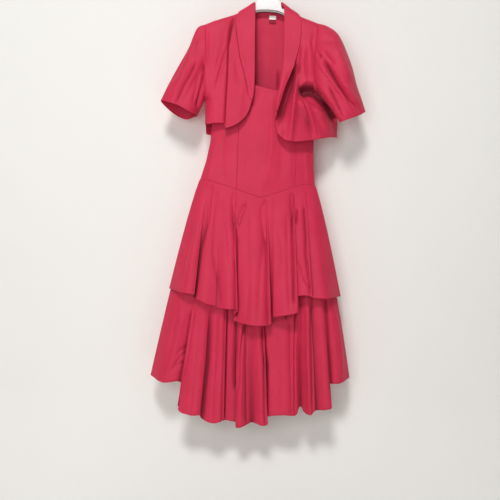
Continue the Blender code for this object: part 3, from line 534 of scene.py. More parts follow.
# Flounces. A row for each fold from left to right: where it leaves the seam in x, then its left turn,
# crest and right turn at the hem as (x, y, z).
upperFlounce = {
    "columns": 330, "rows": 110, "inset": 0.0, "creaseGain": 1.6, "foldEase": 1.35, "flareEase": 0.85,
    "folds": (
        ((-0.19, -0.168), (-0.272, -0.0004, -0.986), (-0.226, -0.066, -0.993), (-0.186, -0.079, -0.997)),
        ((-0.158, -0.124), (-0.19, -0.065, -1.004), (-0.157, -0.081, -1.02), (-0.121, -0.075, -1.029)),
        ((-0.115, -0.084), (-0.115, -0.073, -1.034), (-0.08, -0.092, -1.036), (-0.05, -0.088, -1.037)),
        ((-0.068, 0.014), (-0.064, -0.067, -1.069), (-0.005, -0.1, -1.081), (0.05, -0.094, -1.078)),
        ((0.024, 0.036), (0.056, -0.068, -1.069), (0.081, -0.063, -1.065), (0.099, -0.07, -1.059)),
        ((0.042, 0.102), (0.058, -0.086, -1.054), (0.098, -0.106, -1.045), (0.134, -0.097, -1.032)),
        ((0.11, 0.138), (0.108, -0.068, -1.002), (0.143, -0.084, -0.984), (0.176, -0.084, -0.986)),
        ((0.143, 0.174), (0.17, -0.069, -0.99), (0.222, -0.07, -0.991), (0.272, -0.0004, -0.985)),
    ),
    "back": {"columns": 200, "rows": 56, "depth": 0.07, "lift": 0.045, "swing": 0.004, "waves": 6},
}
lowerFlounce = {
    "columns": 360, "rows": 110, "inset": 0.0029, "creaseGain": 1.7, "foldEase": 1.35, "flareEase": 0.85,
    "folds": (
        ((-0.19, -0.15), (-0.318, -0.0004, -1.262), (-0.272, -0.054, -1.274), (-0.203, -0.055, -1.271)),
        ((-0.145, -0.121), (-0.2225, -0.063, -1.348), (-0.184, -0.086, -1.364), (-0.15, -0.077, -1.366)),
        ((-0.116, -0.099), (-0.141, -0.071, -1.379), (-0.11, -0.085, -1.386), (-0.077, -0.078, -1.378)),
        ((-0.095, -0.076), (-0.084, -0.063, -1.379), (-0.062, -0.059, -1.381), (-0.037, -0.062, -1.386)),
        ((-0.07, -0.052), (-0.041, -0.077, -1.396), (-0.026, -0.089, -1.394), (-0.004, -0.074, -1.387)),
        ((-0.044, -0.008), (0.01, -0.062, -1.382), (0.04, -0.087, -1.386), (0.058, -0.08, -1.382)),
        ((-0.002, 0.09), (0.052, -0.064, -1.364), (0.1, -0.078, -1.353), (0.141, -0.078, -1.352)),
        ((0.104, 0.114), (0.151, -0.061, -1.336), (0.155, -0.053, -1.328), (0.161, -0.052, -1.331)),
        ((0.12, 0.145), (0.168, -0.064, -1.343), (0.187, -0.085, -1.347), (0.201, -0.076, -1.336)),
        ((0.15, 0.16), (0.206, -0.066, -1.335), (0.236, -0.082, -1.329), (0.252, -0.074, -1.318)),
        ((0.162, 0.174), (0.231, -0.052, -1.262), (0.276, -0.05, -1.252), (0.312, -0.0004, -1.24)),
    ),
    "back": {"columns": 240, "rows": 60, "depth": 0.054, "lift": 0.06, "swing": 0.004, "waves": 9},
}
# Valleys between the lobes, soft on the side that turns away and sharp on the other, then small folds
upperCreases = (
    (((-148, -630), (-152.6, -675), (-157.4, -767), (-174.5, -860), (-186, -1030)), -6, 12, 2.5, 0.8, 0.1),
    (((-132, -640), (-133.4, -692), (-135.8, -797), (-134.2, -870), (-110.7, -979), (-100, -1060)),
     -2, 4, 8, 2, 0.12),
    (((-109.4, -746), (-95, -856), (-78.2, -953)), -1.6, 8, 6, 4),
    (((-76, -650), (-76.5, -700), (-76, -763), (-65.9, -824), (-59.9, -952), (-52, -1070)),
     -7, 8, 2, 0.8, 0.1),
    (((-36, -700), (-46.1, -725), (-57, -760), (-64, -790)), -5, 8, 1.6, 0.6),
    (((7.8, -698), (21.3, -789), (16.7, -887), (12.7, -998), (13.1, -1085)), -3, 12, 6, 4, 0.15),
    (((-27.5, -730), (-21.7, -852.5), (-22, -975), (-23.8, -1080)), -2.6, 6, 12, 4, 0.15),
    (((19, -670), (21.2, -697), (23.7, -777), (33.5, -880.5), (39.1, -972), (51.5, -1100)),
     -7, 10, 2, 0.8, 0.08),
    (((53.7, -763), (75.5, -836), (75.3, -897), (56.3, -947)), -2, 6, 6, 3),
    (((88.7, -725), (94.4, -847), (103.8, -981), (110, -1050)), -2.6, 8, 6, 4, 0.15),
    (((102, -650), (103.5, -675), (108.7, -785), (115.4, -877), (122.5, -1020)), -7.5, 6, 1.8, 0.6, 0.08),
    (((120, -712), (118.5, -745), (117.5, -772)), -5, 3, 2, 0.8),
    (((142, -700), (144.5, -740.5), (150.5, -801.5), (153.4, -862.6), (170.5, -966), (174, -1000)),
     -6, 4, 1.8, 0.6, 0.1),
    (((120, -878), (144.3, -930.4), (170.5, -966)), -4, 1.2, 8, 0.6),
    (((180.4, -720.5), (204.5, -841.8), (232, -975)), -2.4, 12, 10, 6),
    (((-196, -740), (-222.3, -886.5), (-234, -990)), -3.6, 8, 14, 4),
    (((-176, -700), (-196, -830), (-207, -990)), 3, 12, 10, 6),
    (((-244.3, -939.6), (-215, -944.5), (-188.7, -949.2)), -1, 1.5, 1.5, 0.6),
)
lowerCreases = (
    (((-236.4, -1017.1), (-249.1, -1141.3), (-274.7, -1253.8)), -4, 12, 6, 3),
    (((-192, -1148), (-222.8, -1174.1), (-243, -1200)), -3.4, 3, 5, 1),
    (((-190, -1163), (-222, -1192.6), (-253, -1245)), -3.4, 3, 5, 1),
    (((-205, -1202), (-225, -1216), (-242, -1230)), -2.8, 3, 4, 1),
    (((-220, -1060), (-232, -1130), (-246, -1190)), 3, 8, 8, 4),
    (((-186, -1040), (-192.6, -1095.4), (-206.1, -1201.1), (-218.3, -1269.6), (-224.5, -1360)),
     -7, 10, 2, 0.8, 0.1),
    (((-165.3, -1050), (-168.5, -1197.8), (-174.1, -1375)), -2.6, 8, 6, 4, 0.12),
    (((-135.2, -1040), (-134.7, -1196.2), (-145, -1390)), -4.4, 6, 3, 1.5, 0.1),
    (((-113.4, -1040), (-107.1, -1194.9), (-108.2, -1400)), -3.6, 4, 6, 2, 0.1),
    (((-85.2, -1030), (-80.7, -1193.7), (-77.6, -1400)), -8, 4.5, 1.6, 0.6, 0.08),
    (((-54.1, -1060), (-53.4, -1163), (-53.6, -1224.8), (-47, -1300)), -5, 4, 3, 1.5, 0.12),
    (((-23.9, -1070), (-37.1, -1179.3), (-44, -1290)), -5.6, 2, 6, 1, 0.12),
    (((-19, -1060), (-13.8, -1190.5), (-2, -1400)), -6.4, 6, 1.8, 0.8, 0.1),
    (((29, -1070), (38.8, -1157.3), (47.3, -1206.1), (54.5, -1390)), -8, 9, 2, 0.8, 0.1),
    (((75, -1080), (83, -1200), (88, -1360)), -2.2, 10, 8, 5, 0.15),
    (((112.1, -1050), (121.5, -1214.9), (132, -1370)), -4, 6, 4, 2, 0.12),
    (((133.1, -1020), (133.4, -1154.2), (141, -1360)), -8, 3, 1.6, 0.6, 0.08),
    (((165, -1010), (173.5, -1181.7), (187, -1350)), 4, 5, 3, 2, 0.12),
    (((178, -1010), (187.6, -1181), (196, -1350)), -6.4, 3, 1.8, 0.8, 0.08),
    (((220, -980), (236.4, -1149.3), (250, -1290)), -7, 2, 10, 0.8, 0.08),
    (((250, -1013.3), (270.1, -1118), (287, -1245.3)), 3.6, 8, 8, 4),
)


def frontHem(flounce):
    # a smooth curve through every fold's turns, with the seam's x carried along it
    points = []
    for (seamLeft, seamRight), *turns in flounce["folds"]:
        for share, turn in zip((0.0, 0.5, 1.0), turns):
            points.append((seamLeft + (seamRight - seamLeft) * share, *turn))
    return smoothLine(points, evenShares(flounce["columns"]))


def backHem(flounce):
    # x and the depth swing as sin and cos of the waves, which grow towards the middle as sin(pi u)
    back, folds = flounce["back"], flounce["folds"]
    u = evenShares(back["columns"])
    turn = 2 * np.pi * back["waves"] * (u + 0.02 * np.sin(5.0 * u * np.pi))
    middle = np.sin(np.pi * u)
    uneven = 1.0 + 0.35 * np.sin(7.3 * u + 1.0) * np.sin(15.1 * u)
    seam = np.interp(u, (0, 1), (folds[0][0][0], folds[-1][0][1]))
    x = np.interp(u, (0, 1), (folds[0][1][0], folds[-1][3][0])) + 0.006 * np.sin(turn) * middle
    y = bodice["gap"] + back["depth"] * middle ** 0.6 * (1.0 - 0.16 * uneven * np.cos(turn) * middle ** 0.5)
    ends = np.interp(u, (0, 1), (folds[0][1][2], folds[-1][3][2]))
    z = ends + (back["swing"] * np.cos(turn) - back["lift"]) * middle
    return np.stack([seam, x, y, z], axis=1)


def flounceGrid(flounce, curve, rows, side):
    # each column runs from the seam to the hem: x by v^flareEase, y by v^foldEase and z evenly
    seam = bodice["seam"]
    left, right = seam[0][0], seam[-1][0]
    topX = curve[:, 0]
    if side < 0:
        topZ = readTable(seam, topX)
    else:
        topZ = np.interp(topX, (left, right), (seam[0][1], seam[-1][1]))
    topY = torsoDepth(topX, topZ, side)
    inset = flounce["inset"]
    middle = 0.5 * (left + right)
    topX = middle + (topX - middle) * (1.0 - 2 * inset / (right - left))
    topY = np.where(np.abs(topY) > inset + bodice["gap"], topY - side * inset, side * bodice["gap"])
    v = evenShares(rows)[:, None]
    x = topX + (curve[:, 1] - topX) * v ** flounce["flareEase"]
    y = topY + (curve[:, 2] - topY) * v ** flounce["foldEase"]
    z = topZ - 0.3 * inset + (curve[:, 3] - topZ) * v
    return np.stack([x, y, z], axis=-1)


def makeFlounces():
    for name, flounce, creases in (("upperFlounce", upperFlounce, upperCreases),
                                   ("lowerFlounce", lowerFlounce, lowerCreases)):
        grid = flounceGrid(flounce, frontHem(flounce), flounce["rows"], -1)
        fromSeam = smoothStep(evenShares(flounce["rows"])[:, None] / 0.1)
        outward = outwardOf(grid)
        height = creaseHeight(grid[..., 0], grid[..., 2], creases) * flounce["creaseGain"] * fromSeam
        height *= smoothStep(-outward[..., 1] / 0.5)
        grid = grid + outward * height[..., None]
        addCloth(name + "Front", grid, ["dressFrontCentre"], hems=("bottom",))
        grid = flounceGrid(flounce, backHem(flounce), flounce["back"]["rows"], 1)
        addCloth(name + "Back", grid[:, ::-1], ["dressBack"], hems=("bottom",))


makeFlounces()
print("flounces made")

# Jacket
jacket = {
    "underarm": -0.385, "underarmReach": 0.04, "underarmOpen": 0.9, "armholeRound": 0.06, "drape": 0.022,
    "openBelow": 0.11, "openFrom": 0.86, "squareness": 2.7,
    "shoulderGap": 0.0002, "sideGap": 0.0004, "sideSwing": 0.034, "swingReach": 0.05,
    "tuckStep": 0.0075, "tuckEdge": 0.0022, "overhang": 0.0015, "overhangReach": 0.007, "tuckFade": 0.05,
    "tuckTop": -0.105, "tuckGrowth": 0.1, "overArm": 0.0125,
    # crease depths at which the painted shade in the right front's hollows and in the crescent by its collar
    # is full, and the crescent's share of that shade
    "hollowPaintedShadeDepth": 0.0135, "crescentPaintedShadeDepth": 0.019, "crescentPaintedShadeShare": 0.75,
    "shoulder": (
        (-0.2, -0.148), (-0.17, -0.1345), (-0.129, -0.1195), (-0.107, -0.112), (-0.089, -0.103),
        (-0.063, -0.0855), (-0.044, -0.0715), (0.0, -0.054), (0.042, -0.0675), (0.069, -0.087),
        (0.106, -0.1085), (0.134, -0.118), (0.159, -0.1265), (0.165, -0.1285),
    ),
    # height against half depth of the front left, front right and back
    "depth": (
        (-0.075, 0.016, 0.016, 0.016), (-0.12, 0.019, 0.019, 0.019), (-0.16, 0.025, 0.025, 0.024),
        (-0.22, 0.033, 0.034, 0.031), (-0.3, 0.041, 0.043, 0.037), (-0.4, 0.047, 0.054, 0.042),
        (-0.515, 0.052, 0.068, 0.046),
    ),
    "armholeLeft": ((-0.196, -0.1462), (-0.191, -0.2), (-0.188, -0.286), (-0.186, -0.385)),
    "armholeRight": ((0.159, -0.1265), (0.152, -0.24), (0.156, -0.32), (0.174, -0.36), (0.203, -0.385)),
    "armholeBackRight": ((0.159, -0.1265), (0.178, -0.2), (0.196, -0.3), (0.203, -0.385)),
    "sideLeft": ((-0.184, -0.43), (-0.1826, -0.4616)),
    "sideRight": ((0.227, -0.402), (0.239, -0.42), (0.241, -0.48)),
    "edgeLeft": (
        (-0.044, -0.0715), (-0.0415, -0.12), (-0.0385, -0.205), (-0.0345, -0.31), (-0.035, -0.358),
        (-0.0405, -0.402), (-0.0517, -0.433), (-0.07, -0.456), (-0.091, -0.47),
    ),
    "edgeRight": (
        (0.042, -0.0675), (0.0515, -0.09), (0.053, -0.12), (0.0555, -0.17), (0.056, -0.26),
        (0.05, -0.33), (0.04, -0.4), (0.037, -0.445), (0.046, -0.489),
    ),
    "hemLeft": ((-0.1826, -0.4616), (-0.169, -0.465), (-0.15, -0.4625), (-0.122, -0.463), (-0.1165, -0.4785),
                 (-0.091, -0.47)),
    "hemRight": ((0.046, -0.489), (0.082, -0.512), (0.15, -0.504), (0.203, -0.49), (0.241, -0.48)),
    "backNeck": ((-0.044, -0.0715), (-0.022, -0.085), (0.0, -0.089), (0.022, -0.083), (0.042, -0.0675)),
    "backHem": ((-0.179, -0.492), (-0.12, -0.498), (0.01, -0.492), (0.13, -0.482), (0.24, -0.475)),
    "tuckLine": ((-0.1005, -0.114), (-0.1173, -0.217), (-0.1154, -0.318), (-0.1172, -0.48)),
}
# broad folds of the fronts in mm: start, end, height, half width
broadLeft = (
    ((-75, -330), (-78, -460), 4, 15),
    ((-170, -420), (-168, -470), 3, 12),
)
broadRight = (
    ((98, -275), (106, -340), -6, 7),
    ((98, -300), (86, -505), 13, 9),
    ((122, -388), (178, -490), 16, 14),
    ((168, -420), (215, -475), 14, 17),
    ((132, -200), (140, -290), 7, 12),
)
leftCreases = (
    (((-93.5, -98), (-100.5, -114), (-112, -158), (-118, -217), (-116.5, -318), (-118.5, -490)),
     -10.5, 3.2, 1, 0.5, 0.05),
    (((-96, -104), (-104.5, -136), (-113, -168), (-116.5, -225)), -10, 7, 1.4, 0.8),
    (((-118, -205), (-130, -245), (-140, -290), (-150, -335), (-158, -373)), -4.2, 2.6, 6, 1.2, 0.35),
    (((-123, -250), (-137, -300), (-143, -350)), -2.2, 3, 6, 1.5),
    (((-124, -150), (-140, -190), (-153, -250), (-166, -320)), -3.4, 10, 4, 2),
    (((-156, -180), (-164, -240), (-176, -300)), -2.8, 10, 8, 5),
    (((-190, -165), (-185, -240), (-183, -300)), -5, 5, 6, 3, 0.2),
    (((-89.3, -297.1), (-81.7, -348.4), (-83.7, -430)), -3, 8, 8, 4),
    (((-96, -260), (-86, -310), (-80, -350)), -2, 4, 6, 2),
    (((-156, -395), (-152, -430), (-150, -475)), 2.6, 8, 10, 4, 0.15),
)
rightCreases = (
    (((106, -190), (108.6, -215.3), (105.4, -256.9), (99.8, -303.7), (96, -330)), -5, 2, 5, 0.8),
    (((124.3, -195), (121.4, -266.4), (132, -312.3), (134, -330)), -4.5, 3, 6, 1.5),
    (((95.8, -265), (102.9, -313.9), (105.1, -360.3), (119.9, -401)), 4, 5, 4, 2),
    (((98, -330), (108.1, -361.2), (120.3, -391.6), (137.9, -433.9), (148.7, -467.5), (156, -500)),
     -9.5, 10, 2, 1, 0.35),
    (((100, -350), (112, -336), (129, -318), (148, -321), (160, -332)), 5, 4, 6, 3, 0.2),
    (((115, -389), (144.4, -397), (172.9, -411), (200, -435)), 8, 12, 4, 3, 0.25),
    (((154.9, -430.4), (167, -466), (180, -505)), -5, 8, 6, 3),
    (((219, -425), (224, -460), (228, -495)), -10, 10, 16, 6, 0.1),
    (((145.8, -150), (142.1, -195.4), (148.8, -240)), -3, 6, 4, 2),
    (((68, -430), (64, -470), (66, -510)), -3, 6, 8, 3),
)
hollowCreases = (
    (((106, -356), (120, -348), (133.8, -343), (156, -346)), -11, 4, 3.4, 40, 0.15),
    (((106, -364), (125, -355), (140, -352), (156, -357), (172, -372), (200, -401), (227, -431)),
     -16.5, 3.4, 3.4, 26, 0.1),
)
crescentCreases = (
    (((96, -240), (90, -285), (80, -335), (66, -385), (55, -430), (48, -475)), -19, 16, 8, 6, 0.22),
)
backCreases = (
    (((-100, -180), (-110, -300), (-100, -450)), 3.5, 20, 12, 4),
    (((0, -150), (8, -300), (-10, -460)), -3, 20, 20, 8),
    (((100, -170), (120, -300), (110, -450)), 3.8, 12, 22, 4),
    (((-150, -220), (-140, -330), (-150, -450)), -3, 10, 14, 4),
    (((45, -120), (55, -240), (40, -380)), -2.2, 12, 16, 6),
    (((41.5, -270), (43, -300), (43.5, -345)), 9, 1.5, 4, 1),
)


# Shawl collar's outline, which the fronts' folds follow
collar = {
    "lift": 0.0026, "backLift": 0.0032, "roll": 0.0026, "backFall": 0.072,
    "standLeft": 0.0014, "standRight": 0.0014, "standReach": 0.02, "edgeFlare": 0.009, "flareFrom": -0.255,
    "flareReach": 0.05,
    "foldEnd": ((-0.038, -0.387),),
    "freeLeft": ((-0.09, -0.1047), (-0.0985, -0.13), (-0.0951, -0.173), (-0.0811, -0.25), (-0.0627, -0.311),
                 (-0.046, -0.38)),
    "freeRight": (
        (0.09, -0.099), (0.103, -0.122), (0.1055, -0.17), (0.1024, -0.208), (0.0897, -0.2653),
        (0.0808, -0.2966), (0.0625, -0.3438), (0.041, -0.425),
    ),
}
collarGrooves = (
    (1000 * np.array(collar["freeLeft"]), -2.6, 1.4, 4, 0.5, 0.08),
    (1000 * np.array(collar["freeRight"][:6]), -2.6, 4, 1.4, 0.5, 0.08),
)


def broadFolds(x, z, rows):
    # height * exp(-(d / width)^2) round each straight line, fading towards its ends
    x, z = 1000 * x, 1000 * z
    total = np.zeros_like(x)
    for (startX, startZ), (endX, endZ), height, width in rows:
        runX, runZ = endX - startX, endZ - startZ
        share = np.clip(((x - startX) * runX + (z - startZ) * runZ) / (runX ** 2 + runZ ** 2), 0.0, 1.0)
        distance = np.hypot(x - startX - share * runX, z - startZ - share * runZ)
        fade = 0.4 + 0.6 * np.sin(np.pi * (0.15 + 0.75 * share))
        total += height * fade * np.exp(-(distance / width) ** 2)
    return total / 1000


def jacketDepth(x, z, side, edge, column):
    # the table's depth, rounded over the shoulder, open at the armhole and a lens below the underarm
    q = np.clip(x / readTable(byHeight(edge), z), 0.0, 1.0)
    atSide = roundOver(z - jacket["underarm"], jacket["armholeRound"])
    openHeight = jacket["openBelow"] + jacket["armholeRound"]
    inside = smoothStep((z - jacket["underarm"] + jacket["openBelow"]) / openHeight)
    towardsSide = smoothStep((q - jacket["openFrom"]) / (1.0 - jacket["openFrom"]))
    opened = jacket["underarmOpen"] * (inside + (atSide - inside) * towardsSide)
    lens = opened + (1.0 - opened) * (1.0 - q ** jacket["squareness"]) ** (1.0 / jacket["squareness"])
    drop = roundOver(readTable(jacket["shoulder"], x) - z, jacket["drape"])
    closed = smoothStep((jacket["underarm"] + jacket["underarmReach"] - z) / jacket["underarmReach"])
    gap = jacket["shoulderGap"] + (jacket["sideGap"] - jacket["shoulderGap"]) * closed
    return side * (readTable(jacket["depth"], z, column) * lens * drop + gap)


def sideSwing(x, z):
    # the right side seam hangs behind the sleeve, by the cube of the way out to it
    edge = readTable(byHeight(jacket["sideRight"]), z)
    grown = smoothStep((jacket["underarm"] - z) / jacket["swingReach"])
    return jacket["sideSwing"] * grown * np.clip(x / edge, 0.0, 1.0) ** 3


def belowShoulder(x, z):
    # 0 on the shoulder's line, eased to 1 at the drape's depth below it
    return smoothStep((readTable(jacket["shoulder"], x) - z) / jacket["drape"])


def fromTuck(x, z):
    # how far a point lies right of the tuck's line, and the tuck's share there, 0 left of it and above
    tuck = x - readTable(byHeight(jacket["tuckLine"]), z)
    grown = smoothStep((jacket["tuckTop"] - z) / jacket["tuckGrowth"])
    return tuck, smoothStep(tuck / jacket["tuckEdge"]) * grown


def tuckOverhang(x, z):
    # the tuck's edge moves over its groove by overhang * exp(-(d / reach)^2), d to the right of the line
    tuck, share = fromTuck(x, z)
    return jacket["overhang"] * share * np.exp(-(tuck / jacket["overhangReach"]) ** 2)


def underCollarLeft(x, z):
    # the table's depth, out by step * exp(-d / fade) right of the tuck, and never behind the hanger's arm
    tuck, share = fromTuck(x, z)
    step = jacket["tuckStep"] * share * np.exp(-np.clip(tuck, 0.0, None) / jacket["tuckFade"])
    base = jacketDepth(x, z, -1, jacket["armholeLeft"] + jacket["sideLeft"], 1)
    folds = broadFolds(x, z, broadLeft) + creaseHeight(x, z, leftCreases)
    pressed = base - step - folds * belowShoulder(x, z)
    return np.minimum(pressed, np.maximum(base, -jacket["overArm"]))


def frontLeft(x, z):
    # a narrow groove runs beside the collar's free edge
    groove = creaseHeight(x, z, collarGrooves[:1]) * belowShoulder(x, z)
    plain = underCollarLeft(x, z)
    return np.minimum(plain - groove, np.maximum(plain, -jacket["overArm"]))


def underCollarRight(x, z):
    # the table's depth and the side seam's swing, less the folds, which stand out towards -y
    base = jacketDepth(x, z, -1, jacket["armholeRight"] + jacket["sideRight"], 2)
    folds = broadFolds(x, z, broadRight) + creaseHeight(x, z, rightCreases + hollowCreases)
    return base + sideSwing(x, z) - folds * belowShoulder(x, z)


def frontRight(x, z):
    folds = creaseHeight(x, z, crescentCreases + collarGrooves[1:])
    return underCollarRight(x, z) - folds * belowShoulder(x, z)


def jacketBack(x, z):
    # the table's depth of the back, its side seams shared with the fronts
    left = jacketDepth(x, z, 1, jacket["armholeLeft"] + jacket["sideLeft"], 3)
    right = jacketDepth(x, z, 1, jacket["armholeBackRight"] + jacket["sideRight"], 3) + sideSwing(x, z)
    drop = roundOver(readTable(jacket["shoulder"], x) - z, jacket["drape"])
    return np.where(x < 0.0, left, right) + creaseHeight(x, z, backCreases) * drop


def makeJacketBody():
    rows = crowdedShares(176, ((0.0, 0.05, 3.0),))
    neckLeft, neckRight = jacket["backNeck"][0], jacket["backNeck"][-1]
    armLeft, armRight = jacket["armholeLeft"][0], jacket["armholeRight"][0]
    shoulderLeft = [armLeft] + [p for p in jacket["shoulder"] if armLeft[0] < p[0] <= neckLeft[0]]
    shoulderRight = [p for p in jacket["shoulder"] if neckRight[0] <= p[0] < armRight[0]] + [armRight]

    across = crowdedShares(220, ((0.0, 0.05, 2.0), (0.55, 0.14, 1.6)))
    flat = panelBetween(straightLine(shoulderLeft, across), smoothLine(jacket["hemLeft"], across),
                        smoothLine(jacket["armholeLeft"] + jacket["sideLeft"], rows),
                        smoothLine(jacket["edgeLeft"], rows), across, rows)
    grid = withDepth(flat, frontLeft)
    grid[..., 0] -= tuckOverhang(flat[..., 0], flat[..., 1])
    addCloth("jacketFrontLeft", grid, ["strap_left", "hanger_body"], hems=("right", "bottom"),
             sewn=("top", "left"))

    across = crowdedShares(240, ((1.0, 0.05, 2.0), (0.35, 0.25, 0.8)))
    flat = panelBetween(straightLine(shoulderRight, across), smoothLine(jacket["hemRight"], across),
                        smoothLine(jacket["edgeRight"], rows),
                        smoothLine(jacket["armholeRight"] + jacket["sideRight"], rows), across, rows)
    x, z = flat[..., 0], flat[..., 1]
    # painted shade in the hollow under the right arm and in the crescent beside the collar, handed to the
    # cloth's fold attribute
    givenPaintedShade = smoothStep(-creaseHeight(x, z, hollowCreases) / jacket["hollowPaintedShadeDepth"])
    paintedCrescentShade = smoothStep(-creaseHeight(x, z, crescentCreases) / jacket["crescentPaintedShadeDepth"])
    addCloth("jacketFrontRight", withDepth(flat, frontRight), ["strap_right", "hanger_body"],
             hems=("left", "bottom"), sewn=("top", "right"),
             givenPaintedShade=np.maximum(givenPaintedShade, jacket["crescentPaintedShadeShare"] * paintedCrescentShade))

    across = 0.5 - 0.5 * np.cos(np.pi * evenShares(170))
    outline = shoulderLeft[:-1] + list(jacket["backNeck"]) + shoulderRight[1:]
    topX = armLeft[0] + (armRight[0] - armLeft[0]) * across
    top = np.stack([topX, readTable(outline, topX)], axis=1)
    left = jacket["armholeLeft"] + jacket["sideLeft"][:-1] + (jacket["backHem"][0],)
    right = jacket["armholeBackRight"] + jacket["sideRight"][:-1] + (jacket["backHem"][-1],)
    flat = panelBetween(top, smoothLine(jacket["backHem"], across), smoothLine(left, rows[::2]),
                        smoothLine(right, rows[::2]), across, rows[::2])
    # its inside is the face that shows, so its folds, and the painted shade in them, are read from there
    addCloth("jacketBack", withDepth(flat, jacketBack)[:, ::-1], ["strap_left", "strap_right", "hanger_body"],
             hems=("bottom",), sewn=("top", "left", "right"), seen=-1)


makeJacketBody()
print("jacket body made")

# Shawl collar


def standAt(flat, reach, height):
    # how far the collar stands up off the shoulder: height * exp(-(d / reach)^2), d below the shoulder
    below = readTable(jacket["shoulder"], flat[..., 0]) - flat[..., 1]
    return (height * np.exp(-(below / reach) ** 2))[..., None]


def onCloth(flat, depth, lift, roll):
    # The flat points laid on the depth rule and moved out along its normal. The last column is the
    # fold, where the cloth rolls over: fold + roll * sin(a) * across + lift * cos(a) * normal.
    lift = np.broadcast_to(lift, flat.shape[:2] + (1,))
    grid = withDepth(flat, depth)
    across = unitVectors(grid[:, -1] - grid[:, -2])
    normal = outwardOf(grid)
    turn = np.linspace(0.0, np.pi, 11)[None, 1:, None]
    over = roll * np.sin(turn) * across[:, None] + lift[:, -1:] * np.cos(turn) * normal[:, -1:]
    rolled = grid[:, -1:] + over
    return np.concatenate([grid + lift * normal, rolled], axis=1)


def makeCollar():
    rows = evenShares(170) ** 1.15
    across = evenShares(46)[None, :, None]
    free = smoothLine(collar["freeLeft"], rows)[:, None]
    fold = smoothLine(jacket["edgeLeft"][:5] + collar["foldEnd"], rows)[:, None]
    flat = free + (fold - free) * across
    lift = collar["lift"] + standAt(flat, collar["standReach"], collar["standLeft"])
    grid = onCloth(flat, underCollarLeft, lift, collar["roll"])
    addCloth("collarLeft", grid, ["jacketFrontLeft"], hems=("left",))

    free = smoothLine(collar["freeRight"], rows)[:, None]
    fold = smoothLine(jacket["edgeRight"][:8], rows)[:, None]
    flat = free + (fold - free) * across
    # the free edge lifts where the front falls away behind it
    flare = smoothStep((collar["flareFrom"] - flat[..., 1:]) / collar["flareReach"]) * (1.0 - across) ** 2
    lift = collar["lift"] + standAt(flat, collar["standReach"], collar["standRight"])
    lift = lift + collar["edgeFlare"] * flare
    mirrored = onCloth(flat, underCollarRight, -lift, collar["roll"])
    addCloth("collarRight", mirrored[:, ::-1], ["jacketFrontRight"], hems=("right",))

    turn = (0.5 - 0.5 * np.cos(np.pi * evenShares(70)))[::-1]
    neckX = np.interp(turn, (0, 1), (jacket["backNeck"][0][0], jacket["backNeck"][-1][0]))
    neck = np.stack([neckX, readTable(jacket["backNeck"], neckX)], axis=1)
    fallX = np.interp(turn, (0, 1), (collar["freeLeft"][0][0], collar["freeRight"][0][0]))
    fallZ = readTable(jacket["shoulder"], fallX) - collar["backFall"] * np.sin(np.pi * turn) ** 0.8
    fall = np.stack([fallX, fallZ], axis=1)
    flat = fall[:, None] + (neck - fall)[:, None] * evenShares(30)[None, :, None]
    stand = collar["standLeft"] + (collar["standRight"] - collar["standLeft"]) * turn[:, None]
    lift = collar["backLift"] + standAt(flat, collar["standReach"], stand)
    grid = onCloth(flat, jacketBack, lift, collar["roll"])
    addCloth("collarBack", grid, ["jacketBack"], hems=("left",))


makeCollar()
print("collar made")

# Sleeves. Cuff: x, y, z at eighths of the way round, from the top by the front.
sleeveGrid = {"half": 96, "rows": 130, "widening": 0.75, "held": 0.06}
sleeveLeft = {
    "sign": -1, "foldGain": 1.6, "puff": 0.012, "forward": 0.002,
    "top": ((-0.196, -0.1462), (-0.2177, -0.156), (-0.2298, -0.179), (-0.2459, -0.2263), (-0.2747, -0.2856),
            (-0.3025, -0.3448), (-0.3245, -0.398)),
    "cuff": (
        (-0.3245, -0.015, -0.398), (-0.3, -0.043, -0.404), (-0.266, -0.056, -0.415),
        (-0.228, -0.05, -0.433), (-0.207, -0.012, -0.438), (-0.222, 0.028, -0.436),
        (-0.25, 0.038, -0.4426), (-0.29, 0.024, -0.426),
    ),
    "creases": (
        (((-213, -262), (-229, -311.6), (-253, -354.3), (-266.8, -391.3), (-284, -420)), -6, 10, 2, 1, 0.2),
        (((-216, -195), (-216, -233), (-225, -270)), -3.5, 12, 12, 6),
        (((-189, -270), (-191, -330), (-197, -385), (-206, -424)), -8, 6, 3, 1.5, 0.15),
        (((-204, -300), (-212, -355), (-222, -420)), -3, 6, 8, 3),
        (((-253.2, -240), (-271.5, -292.8), (-296, -345.3)), -4, 10, 6, 3),
        (((-240, -270), (-262, -330), (-290, -395)), 3, 8, 8, 4),
    ),
}
sleeveRight = {
    "sign": 1, "foldGain": 1.7, "puff": 0.038, "forward": 0.018,
    "top": ((0.159, -0.1265), (0.186, -0.133), (0.2165, -0.151), (0.237, -0.179), (0.2575, -0.2236),
            (0.272, -0.2597), (0.2905, -0.32), (0.3075, -0.3633), (0.321, -0.4)),
    "cuff": (
        (0.321, -0.015, -0.4), (0.303, -0.047, -0.416), (0.2786, -0.064, -0.429),
        (0.254, -0.072, -0.44), (0.238, -0.055, -0.445), (0.253, -0.005, -0.432),
        (0.275, 0.03, -0.416), (0.302, 0.022, -0.403),
    ),
    "creases": (
        (((168, -240), (193.9, -291.3), (226.9, -336.1), (264.6, -370.4), (304, -408)), -11, 3, 9, 1.2, 0.18),
        (((177, -255), (209.8, -300.8), (248.4, -355.7), (280, -406)), -6, 6, 4, 1.5, 0.2),
        (((150, -222), (159, -236), (170, -250)), -6, 2, 4, 1),
        (((169, -182), (180, -192), (192.6, -196.5), (213, -188)), -3, 4, 10, 3),
        (((172, -222), (190, -245), (215, -275)), -5, 6, 4, 2),
        (((205, -200), (233, -255.5), (265, -326.7)), 5, 12, 10, 6),
        (((195, -330), (227, -382.1), (252, -435.4)), -6, 6, 8, 3),
        (((240, -320), (270, -360), (302, -390)), 5, 6, 6, 3),
    ),
}


